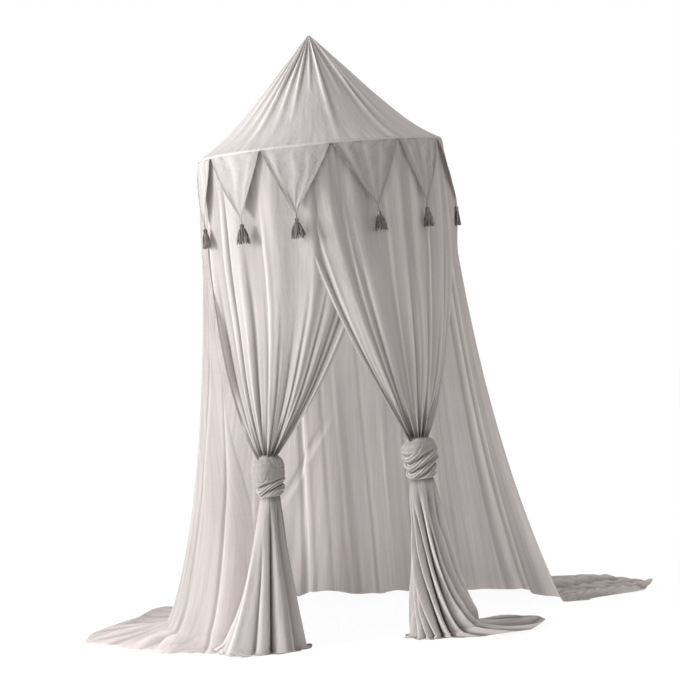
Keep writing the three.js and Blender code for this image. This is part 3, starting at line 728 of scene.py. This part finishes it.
# The wall bulges under the pennants, more at its right front edge
WALL_BULGE, EDGE_BULGE, EDGE_DEGREES, BULGE_REACH = 0.007, 0.024, 87, 0.25
FRONT_BEND, WALL_BEND, LEFT_MORE_BEND = 0.015, 0.05, 0.10
CRUMPLE, APRON_CRUMPLE, FLOOR_RIDGE = 0.006, 0.009, 0.022
ROLL_HEIGHT, ROLL_DEGREES, ROLL_SHARE = 0.024, 237, 0.84
# Painted shade over most of the wall
WALL_PAINTED_SHADE = 0.27
WALL_NAMES = ["wall_right", "wall_back", "wall_left"]
WALL_METRES, WALL_FLAT = (0.95, 2.35), (0.84, 2.35)
WALL_HANG_SHARE = 0.76
FOOT_SPREAD, HEM_SPREAD, HEM_WAVE = 0.39, 0.760, 0.012
# How far out the wall meets the floor and how far its hem lies, by angle: degrees, share
FOOT_SHARES = np.array([
    (80, 0.8), (92, 0.8), (101, 0.6), (131, 0.22), (147, 0.04), (180, 0.1), (196, 0.6),
    (215, 0.7), (240, 0.74), (262, 0.82), (274, 0.8), (290, 0.74), (302, 0.64), (314, 0.2),
])
HEM_SHARES = np.array([
    (80, 0.56), (89, 0.58), (94, 0.9), (101, 1), (116, 0.9), (130, 0.69), (150, 0.47), (180, 0.43),
    (205, 0.56), (230, 0.8), (246, 0.9), (258, 0.94), (264, 0.93), (274, 0.68), (286, 0.52), (302, 0.36),
    (314, 0.1),
])


def share_at(table, degrees):
    """Smooth value between the rows of a table of degrees and shares."""
    row = np.clip(np.searchsorted(table[:, 0], degrees, side="right"), 1, len(table) - 1)
    before, after = table[row - 1], table[row]
    part = smooth((degrees - before[:, 0]) / (after[:, 0] - before[:, 0]))
    return mix(before[:, 1], after[:, 1], part)


def round_bend(height, radius):
    """Height of cloth that bends onto the floor, from the height it would have without the floor."""
    return (height + np.sqrt(height * height + radius * radius)) / 2


def slanting(degrees, down, crest):
    beside = degrees - crest - SLANT_SLOPE * (down - SLANT_CROSSES)
    return ridge(beside / SLANT_WIDTH)


def wall_relief(whole, degrees, v, spread, wave, pinched):
    """How high the cloth on the floor stands up: crumples, the ends of the flutes and a roll."""
    crumple = CRUMPLE * np.abs(ripples(whole, v, 12, 16, 3)) * smooth(spread * 4) * (1 - 0.5 * spread)
    tight = APRON_CRUMPLE * np.abs(ripples(whole, v, 17, 26, 14)) * smooth(spread * 3)
    crumple = crumple + tight * fades(degrees, 125, 15)
    ridges = FLOOR_RIDGE * np.clip(wave, 0, 1) * spread * (1 - spread) * 4
    ridges = ridges + pinched * 2.5 * spread * (1 - spread)
    roll = ROLL_HEIGHT * ridge((degrees - ROLL_DEGREES) / 7) * ridge((spread - ROLL_SHARE) / 0.06)
    return (crumple + ridges + roll) * grows(degrees, 87.5, 8)


def wall_place(index):
    def place(u, v):
        down = np.clip(v / WALL_HANG_SHARE, 0, 1)
        spread = np.clip((v - WALL_HANG_SHARE) / (1 - WALL_HANG_SHARE), 0, 1)
        start = WALL_START + WALL_START_DRIFT * down ** 2
        end = WALL_END + WALL_END_DRIFT * smooth(down / WALL_FORWARD_SHARE)
        end = end + WALL_CURL_DEGREES * grows(down, CURL_FROM_SHARE, CURL_SHARE)
        whole = (index + u) / len(WALL_NAMES)
        degrees = mix(start, end, whole)
        foot = HOOP_RADIUS + FOOT_SPREAD * share_at(FOOT_SHARES, degrees) * mix(down, down ** 3, 0.6)
        hem = HOOP_RADIUS + HEM_SPREAD * share_at(HEM_SHARES, degrees)
        hem = hem + HEM_WAVE * ripples(whole, 0, 9, 14, 0)
        drift = (whole * 3 + 0.05 * ripples(whole, v, 8, 2, 0.7) * down) / 3
        wave = 1 - 2 * np.clip(sags(drift, down, crests(14, 13, 0.36), 14, (-0.5, 0.3), 0.5), 0, 1.3)
        fine = sags(drift, down, crests(60, 15, 0.4), 16, (-0.3, 0.9), 0.25)
        fold = FLUTE_DEPTH * down ** 1.3 * wave - FINE_FLUTE_DEPTH * fine * (0.3 + down)
        fold = fold + WALL_SWELL * ripples(whole, v, 11, 7, 0.8) * down
        pinched = creases(degrees, down, WALL_CREASES, WALL_CREASE_DEGREES)
        fold = fold + pinched * smooth(down * 8)
        drawn = slanting(degrees, down, SLANT_GROOVE) - slanting(degrees, down, SLANT_CREST)
        fold = fold - SLANT_HEIGHT * drawn * grows(down, 0.56, 0.10) * fades(down, 0.82, 0.12)
        bulge = WALL_BULGE + EDGE_BULGE * ridge((degrees - EDGE_DEGREES) / 6)
        fold = fold + bulge * np.sin(np.pi * np.clip(down / BULGE_REACH, 0, 1)) ** 2
        height = (1 - down) * (CURTAIN_TOP_Z - FLOOR_Z) - spread * 0.3
        bend = mix(FRONT_BEND, WALL_BEND, grows(degrees, 90, 15)) + LEFT_MORE_BEND * grows(degrees, 250, 20)
        lift = round_bend(height, bend) * (1 - 0.9 * spread ** 3)
        lift = lift + wall_relief(whole, degrees, v, spread, wave, pinched)
        return on_circle(mix(foot + fold, hem, spread), degrees, FLOOR_Z + CLOTH_LIFT + np.maximum(lift, 0))

    return place


def make_wall(index, name):
    hem = edge_hem(WALL_METRES[0])

    def painted_shade(u, v):
        end = WALL_END + WALL_END_DRIFT + WALL_CURL_DEGREES
        degrees = mix(WALL_START, end, (index + u) / len(WALL_NAMES))
        apron = smooth((v - WALL_HANG_SHARE + 0.04) / 0.08) * smooth(np.abs(degrees - 185) / 20 - 2)
        front = grows(degrees, 290, 10) * grows(v, 0.52, 0.16)
        inner = smooth(1.6 - np.abs(degrees - 200) / 9) * smooth(1.5 - np.abs(v - 0.56) / 0.13)
        # Painted shade on the hems and over most of the wall; the apron, the curled front and a patch inside
        # are left out of it, so they show as painted light
        return hem(u, v) + WALL_PAINTED_SHADE * (1 - np.clip(apron + front + inner, 0, 1))

    piece = cloth(name.replace("wall", "wall_cloth"), wall_place(index), 280, 300, WALL_METRES, painted_shade)
    finish_piece(piece, wall_gauze, "gauze", name)
    as_sheet(piece, WALL_FLAT)
    return piece


walls = [make_wall(index, name) for index, name in enumerate(WALL_NAMES)]
print("wall faces:", sum(len(wall.data.polygons) for wall in walls))

# %% [markdown]
# Below its knot each curtain opens into a tail. The cloth wraps round from the back, stands in deep folds
# with sharp creases between them, and runs out over the floor in a train.

# %% Tails
TAIL_TOP_HALF = (0.036, 0.027)
TAIL_FOOT_HALF_DEPTH = 0.078
TAIL_FOOT_Y = -0.462
TAIL_WRAP_DEGREES = 150
TAIL_HANG_SHARE = 0.78
TAIL_TUCK = 0.012
TAIL_CREASE_DEGREES = 5.5
TRAIN_SPREAD, TRAIN_LEAST, TRAIN_WAVE = 1.7, 0.018, 0.010
TRAIN_PIPE, TRAIN_CREASE = 0.016, 0.022
TAIL_BEND, TAIL_CRUMPLE = 0.022, 0.004
TAIL_METRES, TAIL_FLAT = (1.5, 0.78), (0.62, 0.72)
# Each crease: degrees round the tail from the front, its depth as a share, share down where it begins
# Each tail's form also gives how much painted shade lies on its piped panels
TAILS = {
    "left": {
        "foot_x": -0.376, "half_width": 0.152, "train": 0.030, "train_degrees": -100, "sweep": 6,
        "bend": 0.10, "lean": 0.030, "opening": 1.1, "seed": 500, "pipes_from": -14, "painted_panel_shade": 0.68,
        "piping": 0.05, "creases": [
            (-128, -0.3, 0), (-88, -0.10, 0.1), (-58, 0.10, 0.2), (-30, -0.14, 0.2), (-2, -0.55, 0),
            (4, -0.4, 0), (16, 0.05, 0), (38, 0.10, 0), (47, -0.80, 0), (53, -0.65, 0), (63, 0.14, 0),
            (84, -0.3, 0.1), (112, -0.3, 0), (134, -0.25, 0.1),
        ],
    },
    "right": {
        "foot_x": 0.293, "half_width": 0.122, "train": 0.230, "train_degrees": 99, "sweep": 72,
        "bend": 0.08, "lean": 0.060, "opening": 0.65, "seed": 600, "pipes_from": -200, "painted_panel_shade": 0.38,
        "piping": 0.10, "creases": [
            (-140, -0.3, 0), (-118, -0.4, 0.1), (-97, -0.5, 0.05), (-84, 0.14, 0.1), (-72, -0.55, 0),
            (-58, 0.12, 0.1), (-48, -0.6, 0.1), (-36, 0.14, 0), (-25, -0.6, 0), (-14, 0.16, 0),
            (-5, -0.45, 0.2), (6, 0.14, 0), (16, -0.7, 0), (22, -0.8, 0), (28, -0.5, 0), (38, 0.16, 0.05),
            (48, -0.5, 0), (60, 0.12, 0), (72, -0.4, 0.2), (94, -0.35, 0), (118, -0.3, 0.1),
        ],
    },
}


def tail_place(name):
    form = TAILS[name]
    seed = form["seed"]
    top_height = KNOT_FOOT_Z + KNOT_RAISE[name] + TAIL_TUCK - FLOOR_Z

    def place(u, v):
        wrapped = mix(-TAIL_WRAP_DEGREES, TAIL_WRAP_DEGREES, u)
        down = np.clip(v / TAIL_HANG_SHARE, 0, 1)
        spread = np.clip((v - TAIL_HANG_SHARE) / (1 - TAIL_HANG_SHARE), 0, 1)
        turned = wrapped - form["sweep"] * down ** 1.6 + 3 * ripples(u, v, seed, 0.9, 0.8) * down
        piped = grows(turned, form["pipes_from"], 25)
        pipes = scallops(u + 0.02 * ripples(u, v, seed + 3, 0.9, 0.8), crests(7, seed + 1, 0.36), 0.4) * piped
        fine = sags(u, v, crests(21, seed + 2, 0.4), seed + 7, (-0.3, 0.8), 0.2) * piped
        width = TAIL_CREASE_DEGREES * (1 + 1.2 * (1 - down) ** 5)
        pinched = creases(turned, down, form["creases"], width)
        flute = form["piping"] * pipes + 0.03 * fine + 1.2 * pinched * (0.6 + 0.4 * smooth(down * 3))
        flute = 1 + flute * (1 - 0.8 * smooth(spread * 1.5))
        half_width = mix(TAIL_TOP_HALF[0], form["half_width"], down ** form["opening"]) * flute
        half_depth = mix(TAIL_TOP_HALF[1], TAIL_FOOT_HALF_DEPTH, down) * flute
        pull = np.clip(np.cos(np.radians(wrapped - form["train_degrees"])), 0, 1) ** TRAIN_SPREAD
        train = TRAIN_LEAST + form["train"] * pull + TRAIN_WAVE * ripples(u, 0 * v, seed + 4, 5, 0)
        beyond = form["lean"] * pull * grows(down, 0.45, 0.55) ** 2 + spread * train
        x = mix(KNOT_X[name], form["foot_x"], down) + (half_width + beyond) * np.sin(np.radians(wrapped))
        y = mix(KNOT_Y, TAIL_FOOT_Y, down) - (half_depth + beyond) * np.cos(np.radians(wrapped))
        lift = round_bend((1 - down) * top_height - spread * 0.12, mix(TAIL_BEND, form["bend"], pull))
        crumple = TAIL_CRUMPLE * np.abs(ripples(u, v, seed + 5, 5, 3)) * smooth(spread * 3)
        ridges = (TRAIN_PIPE * pull * pipes + TRAIN_CREASE * pinched) * spread * (1 - spread) * 4
        return np.stack([x, y, FLOOR_Z + CLOTH_LIFT + np.maximum(lift + crumple + ridges, 0)], axis=-1)

    return place


def make_tail(name):
    form = TAILS[name]
    hem = edge_hem(TAIL_METRES[0])

    def painted_shade(u, v):
        # Painted shade on the hems and on the piped panels that come out of the knot, and a painted shadow
        # under the knot at the top
        turned = mix(-TAIL_WRAP_DEGREES, TAIL_WRAP_DEGREES, u)
        panel_shade = form["painted_panel_shade"] * grows(turned, form["pipes_from"], 14) * (1 - 0.4 * v)
        return hem(u, v) + panel_shade + 0.7 * fades(v, 0.045, 0.035)

    piece = cloth(f"tail_cloth_{name}", tail_place(name), 300, 240, TAIL_METRES, painted_shade)
    finish_piece(piece, tail_gauze, "gauze", f"tail_{name}")
    as_sheet(piece, TAIL_FLAT)
    return piece


tails = [make_tail(name) for name in TAILS]
print("tail faces:", len(tails[0].data.polygons))

# %% [markdown]
# Each knot is the curtain wound round itself: a full, smooth wrap above and narrower, twisted turns below.
# It is lofted from rings whose radius follows a profile. The lower turns are slanting rolls with sharp
# creases between them, and both ends curl in round the cloth that passes through.

# %% Knots
KNOT_ROW_SHARES = [0, 0.02, 0.06, 0.16, 0.3, 0.46, 0.6, 0.7, 0.84, 0.95, 0.99, 1]
KNOT_FULL_SHARES = [0.3, 0.50, 0.68, 0.91, 1, 0.99, 0.93, 0.84, 0.84, 0.78, 0.6, 0.25]
KNOT_PROFILE_ROWS, KNOT_SOFT_ROWS = 200, 11
ROLL_RELIEF, SMALL_ROLL_RELIEF, DENT_RELIEF, CORNER_RELIEF = 0.27, 0.08, 0.035, 0.035
KNOT_TILT = 0.006
KNOT_METRES = (0.42, 0.22)
KNOTS = {
    "left": {
        "half": (0.064, 0.053), "rolls_from": 0.60, "rolls": 2.1, "slant": 0.55, "slim": 0.14, "seed": 700},
    "right": {
        "half": (0.069, 0.056), "rolls_from": 0.36, "rolls": 3.0, "slant": 0.85, "slim": 0.10, "seed": 722},
}


def rolled(phase, softness):
    """Round rolls, one to each whole number of the phase, with sharp creases between them."""
    return np.sqrt(np.sin(np.pi * phase) ** 2 + softness)


def knot_place(name):
    form = KNOTS[name]
    low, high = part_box(f"knot_{name}")
    fine_rows = np.linspace(0, 1, KNOT_PROFILE_ROWS)
    profile = np.interp(fine_rows, KNOT_ROW_SHARES, KNOT_FULL_SHARES)
    kernel = np.ones(KNOT_SOFT_ROWS) / KNOT_SOFT_ROWS
    profile = np.convolve(np.pad(profile, KNOT_SOFT_ROWS // 2, mode="edge"), kernel, mode="valid")
    seed = form["seed"]

    def place(u, v):
        angle = TAU * u
        full = np.interp(v, fine_rows, profile)
        inside = smooth(v * 12) * smooth((1 - v) * 12)
        turn = (v - form["rolls_from"]) / (1 - form["rolls_from"])
        lean = form["slant"] * np.sin(angle - 0.5) + 0.14 * ripples(np.cos(angle), v, seed, 0.5, 0.8)
        phase = form["rolls"] * turn + lean
        below = smooth(turn * 4 + 0.5)
        roll = rolled(phase, 0.004) - 0.55
        small = rolled(2.6 * phase + 0.8 * np.sin(2 * angle), 0.01) - 0.6
        above = np.abs(ripples(np.sin(angle) + 0.6 * v, v + 0.2 * np.cos(angle), seed + 1, 0.8, 1.6))
        bumps = ROLL_RELIEF * roll * below + SMALL_ROLL_RELIEF * small * below
        dents = -DENT_RELIEF * smooth(1 - above / 0.5) * (1 - 0.6 * below)
        corners = CORNER_RELIEF * np.cos(4 * angle + 0.5) * (1 - below)
        full = full * (1 + (bumps + dents + corners) * inside)
        full = full * (1 - form["slim"] * below * (0.5 - 0.5 * np.sin(angle)))
        x = KNOT_X[name] + form["half"][0] * full * np.sin(angle)
        y = KNOT_Y - form["half"][1] * full * np.cos(angle)
        tilt = KNOT_TILT * np.sin(angle - 0.6) * inside
        return np.stack([x, y, mix(high.z, low.z, v) + KNOT_RAISE[name] + tilt], axis=-1)

    return place


def make_knot(name):
    place = knot_place(name)
    piece = cloth(f"knot_cloth_{name}", place, 220, 170, KNOT_METRES, joined=True, wound=True)
    shape = bmesh.new()
    shape.from_mesh(piece.data)
    rims = [edge for edge in shape.edges if edge.is_boundary]
    bmesh.ops.holes_fill(shape, edges=rims)
    bmesh.ops.recalc_face_normals(shape, faces=shape.faces)
    shape.to_mesh(piece.data)
    shape.free()
    return finish_piece(piece, knot_gauze, "gauze", f"knot_{name}")


knots = [make_knot(name) for name in KNOTS]
print("knot faces:", len(knots[0].data.polygons))

# %% [markdown]
# A tassel is a bundle of yarn doubled over a cord and bound at its neck. Each strand is a curve with a
# round bevel: it leaves the cord, swells out over the head, is drawn in by the binding and then flares
# into the skirt. A curve object holds all the strands of one tassel and is turned into one mesh. The cord
# is three plies wound round each other, with a small knot half way.

# %% Tassels
STRANDS = 104
STRAND_RADIUS = 0.0012
TASSEL_LENGTH = 0.082
# Radius and drop of a strand in the head, from the cord to the neck
HEAD_POINTS = [(0.0012, 0.0012), (0.0056, 0.004), (0.0080, 0.008), (0.0078, 0.012), (0.0068, 0.0150)]
NECK_RADIUS, NECK_DROP = 0.0064, 0.0150
SKIRT_HALF = (0.033, 0.012)
SKIRT_POWER, STRAND_BEND = 0.78, 0.0024
CORD_LENGTH = 0.020
LAY_RADIUS, PLY_RADIUS, CORD_TURNS = 0.0008, 0.0009, 2.5
# Radius, drop, pitch and steps of the turns wound round the neck and of the cord's knot
BINDING = (0.0074, 0.0125, 0.0016, 18)
CORD_KNOT = (0.0016, 0.010, 0.0013, 12)
WOUND_TURNS = 3


def tubes(name, paths, radius, body, sides=1):
    """One mesh of round tubes, each along its own list of points."""
    curve = bpy.data.curves.new(name, "CURVE")
    curve.dimensions = "3D"
    curve.bevel_depth = radius
    curve.bevel_resolution = sides
    curve.use_fill_caps = True
    for path, closed in paths:
        line = curve.splines.new("POLY")
        line.points.add(len(path) - 1)
        line.points.foreach_set("co", np.column_stack([path, np.ones(len(path))]).ravel())
        line.use_cyclic_u = closed
    shown = bpy.data.objects.new(name, curve)
    bpy.context.scene.collection.objects.link(shown)
    bpy.context.view_layer.update()
    mesh = bpy.data.meshes.new_from_object(shown.evaluated_get(bpy.context.evaluated_depsgraph_get()))
    bpy.data.objects.remove(shown)
    mesh.name = name
    return new_object(name, mesh, body)


def strand(random):
    """One strand of a tassel that hangs from the origin, its skirt wider across than deep."""
    angle = random.uniform(0, TAU)
    layer = random.uniform(0.35, 1) ** 0.5
    width = SKIRT_HALF[0] * layer * random.uniform(0.75, 1.1)
    depth = SKIRT_HALF[1] * layer * random.uniform(0.8, 1.15)
    end = TASSEL_LENGTH * random.uniform(0.80, 1.0)
    points = [(r * layer * math.sin(angle), -r * layer * math.cos(angle), -drop) for r, drop in HEAD_POINTS]
    bend = random.normal(0, STRAND_BEND, 2)
    neck = NECK_RADIUS * layer
    for share in (0.1, 0.25, 0.45, 0.7, 1):
        flare = share ** SKIRT_POWER
        half_x, half_y = mix(neck, width, flare), mix(neck, depth, flare)
        swing = bend * math.sin(math.pi * share)
        points.append((half_x * math.sin(angle) + swing[0], -half_y * math.cos(angle) + swing[1] * 0.5,
                       mix(-NECK_DROP, -end, share)))
    return np.array(points)


def wound_yarn(radius, drop, pitch, steps):
    """Closed turns of yarn round the axis, one below the other."""
    angle = TAU * np.arange(steps) / steps
    x, y = radius * np.sin(angle), -radius * np.cos(angle)
    drops = [drop + pitch * turn for turn in range(WOUND_TURNS)]
    return [(np.stack([x, y, np.full(steps, -low)], axis=-1), True) for low in drops]


def helix(radius, top, bottom, turns, phase, steps=26):
    share = np.linspace(0, 1, steps)
    angle = TAU * (turns * share + phase)
    return np.stack([radius * np.sin(angle), radius * np.cos(angle), mix(top, bottom, share)], axis=-1)


def hung_at(paths, origin, outward):
    """Turns paths that face -Y to face outward, and moves them to their place."""
    turn = Matrix.Rotation(math.atan2(outward.x, -outward.y), 3, "Z")
    frame_at = np.array(turn)
    return [(path @ frame_at.T + np.array(origin), closed) for path, closed in paths]


def make_tassel(index):
    name = label(index)
    sway = joints[f"tassel_sway_{name}"]
    outward = Vector(sway["axis"])
    random = np.random.default_rng(800 + index)
    strands = [(strand(random), False) for _ in range(STRANDS)]
    paths = hung_at(strands + wound_yarn(*BINDING), sway["pos_m"], outward)
    piece = tubes(f"tassel_yarn_{name}", paths, STRAND_RADIUS, f"tassel_{name}")
    finish_piece(piece, yarn, "tassel_yarn", f"tassel_{name}")
    phases = (0, 1 / 3, 2 / 3)
    plies = [(helix(LAY_RADIUS, 0.0, -CORD_LENGTH, CORD_TURNS, phase), False) for phase in phases]
    paths = hung_at(plies + wound_yarn(*CORD_KNOT), joints[f"cord_swing_{name}"]["pos_m"], outward)
    cord = tubes(f"tassel_cord_ply_{name}", paths, PLY_RADIUS, f"cord_{name}")
    finish_piece(cord, yarn, "tassel_yarn", f"tassel_cord_{name}")
    return piece


tassels = [make_tassel(index) for index in range(PENNANTS)]
print("tassels:", len(tassels), "each", len(tassels[0].data.polygons), "faces")

# %% [markdown]
# The rim hides a hoop of painted rods in a sewn casing. The casing is an arc of cloth spun round the
# canopy's axis, open on its inner side where the rods go in. It is drawn as a short line of points, and
# bmesh's spin makes the sleeve. The ring at the tip is a small circle spun round in the same way, and the
# tape that ties it to the cloth is a narrow band laid over it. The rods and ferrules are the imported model's.

# %% Casing, ring and tape
CASING_RADIUS = 0.0080
CASING_SLIT_DEGREES = 50
CASING_POINTS, CASING_STEPS, CASING_WIDTH = 20, 176, 0.045
RING_INNER_RADIUS = 0.006
RING_WIRE_RADIUS = 0.00125
RING_POINTS, RING_STEPS = 16, 64


def spun(name, points, closed, centre, axis, steps):
    """A line of points spun a full turn round an axis through centre."""
    shape = bmesh.new()
    corners = [shape.verts.new(point) for point in points]
    pairs = list(zip(corners, corners[1:])) + ([(corners[-1], corners[0])] if closed else [])
    spin = corners + [shape.edges.new(pair) for pair in pairs]
    bmesh.ops.spin(shape, geom=spin, cent=centre, axis=axis, angle=TAU, steps=steps, use_merge=True)
    bmesh.ops.remove_doubles(shape, verts=shape.verts, dist=MERGE_DISTANCE)
    if closed:
        bmesh.ops.recalc_face_normals(shape, faces=shape.faces)
    mesh = bpy.data.meshes.new(name)
    shape.to_mesh(mesh)
    shape.free()
    return new_object(name, mesh)


def make_casing():
    half = math.radians(180 - CASING_SLIT_DEGREES / 2)
    angles = np.linspace(-half, half, CASING_POINTS)
    points = [
        (HOOP_RADIUS + CASING_RADIUS * math.cos(a), 0, RIM_Z + CASING_RADIUS * math.sin(a)) for a in angles]
    piece = spun("casing_cloth", points, False, (0, 0, 0), (0, 0, 1), CASING_STEPS)
    piece.data.uv_layers.new(name="cloth")
    finish_piece(piece, roof_gauze, "gauze", "hoop_casing")
    as_sheet(piece, (TAU * HOOP_RADIUS, CASING_WIDTH))
    return piece


def make_ring():
    centre = RING_INNER_RADIUS + RING_WIRE_RADIUS
    angles = TAU * np.arange(RING_POINTS) / RING_POINTS
    points = [
        (centre + RING_WIRE_RADIUS * math.cos(a), RING_WIRE_RADIUS * math.sin(a), -RING_INNER_RADIUS)
        for a in angles]
    piece = spun("ring_steel", points, True, (0, 0, -RING_INNER_RADIUS), (0, 1, 0), RING_STEPS)
    return finish_piece(piece, steel, "steel", "hanging_ring")


def make_tape():
    """The tape's loop over the ring, at its CAD place: a band along a line, twice as wide as it is deep."""
    low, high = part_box("hanging_tape")
    half_width, reach = (high.x - low.x) / 2, (high.y - low.y) / 2
    share = np.linspace(-1, 1, 41)
    line_y = reach * np.sign(share) * np.abs(share) ** 0.85 * (1 - 0.02 * np.cos(np.pi * share))
    line_z = mix(high.z, low.z, np.abs(share) ** 1.15)

    def place(u, v):
        y, z = np.interp(2 * v - 1, share, line_y), np.interp(2 * v - 1, share, line_z)
        return np.stack([low.x + 2 * half_width * u, y, z], axis=-1)

    piece = cloth("tape_cloth", place, 8, 60, (2 * half_width, 2 * math.hypot(reach, high.z - low.z)))
    return finish_piece(piece, tape_web, "tape", "hanging_tape")


casing = make_casing()
ring = make_ring()
tape = make_tape()
for node in frame["nodes"]:
    if node.startswith("hoop_rod"):
        paint(frame["nodes"][node], hoop_paint)
    elif node.startswith("hoop_ferrule"):
        paint(frame["nodes"][node], steel)
print("casing faces:", len(casing.data.polygons), "ring faces:", len(ring.data.polygons))

# %% [markdown]
# The floor is a plain pale sheet. Seen by the camera it glows most of the way to white and keeps only a
# soft shadow, so that it joins the white world behind it. Every other ray meets a plain pale floor. A large
# lamp at the left is the key light, one behind the canopy shines through the cloth like a window, and a
# small low lamp lifts the folds near the floor.

# %% Floor and light
FLOOR_HALF = 14
FLOOR_DROP = 0.0005
FLOOR_COLOR = (0.8, 0.8, 0.8, 1)
FLOOR_GLOW, GLOW_STRENGTH = 0.86, 1.07
WORLD_STRENGTH = 0.70
# Name, place, where it points, size in metres and power in watts
LAMPS = [
    ("key", (-6.2, -1.7, 0.5), (0, 0, -1.2), 2.2, 440),
    ("window", (-4.6, 4.4, -0.4), (0, 0, -1.3), 2.6, 125),
    ("low", (-3.2, -2.3, -1.8), (-0.5, -0.4, -2.1), 1.0, 22),
]


def make_floor():
    shape = bmesh.new()
    bmesh.ops.create_grid(shape, x_segments=1, y_segments=1, size=FLOOR_HALF)
    bmesh.ops.translate(shape, verts=shape.verts, vec=(0, 0, FLOOR_Z - FLOOR_DROP))
    mesh = bpy.data.meshes.new("floor")
    shape.to_mesh(mesh)
    shape.free()
    floor = bpy.data.objects.new("floor", mesh)
    bpy.context.scene.collection.objects.link(floor)
    material, tree = nodes_of("floor")
    seen = add(tree, "ShaderNodeLightPath").outputs["Is Camera Ray"]
    plain = add(tree, "ShaderNodeBsdfDiffuse", {"Color": FLOOR_COLOR}).outputs[0]
    glow = add(tree, "ShaderNodeEmission", {"Strength": GLOW_STRENGTH}).outputs[0]
    share = math_node(tree, "MULTIPLY", seen, FLOOR_GLOW)
    both = add(tree, "ShaderNodeMixShader", {0: share, 1: plain, 2: glow})
    add(tree, "ShaderNodeOutputMaterial", {"Surface": both.outputs[0]})
    mesh.materials.append(material)


def make_world():
    world = bpy.data.worlds.new("studio")
    bpy.context.scene.world = world
    world.use_nodes = True
    tree = world.node_tree
    tree.nodes.clear()
    path = add(tree, "ShaderNodeLightPath")
    seen = math_node(tree, "MAXIMUM", path.outputs["Is Camera Ray"], path.outputs["Is Glossy Ray"])
    seen = math_node(tree, "MAXIMUM", seen, path.outputs["Is Transmission Ray"])
    strength = between(tree, seen, WORLD_STRENGTH, 1.0)
    light = add(tree, "ShaderNodeBackground", {"Color": (1, 1, 1, 1), "Strength": strength})
    add(tree, "ShaderNodeOutputWorld", {"Surface": light.outputs[0]})


def make_lamp(name, place, aim, size, watts):
    data = bpy.data.lights.new(name, "AREA")
    data.size = size
    data.energy = watts
    lamp = bpy.data.objects.new(name, data)
    lamp.location = place
    lamp.rotation_euler = (Vector(aim) - Vector(place)).to_track_quat("-Z", "Y").to_euler()
    bpy.context.scene.collection.objects.link(lamp)


make_floor()
make_world()
for lamp in LAMPS:
    make_lamp(*lamp)
bpy.context.scene.view_settings.view_transform = "Standard"
print("lamps:", len(LAMPS))
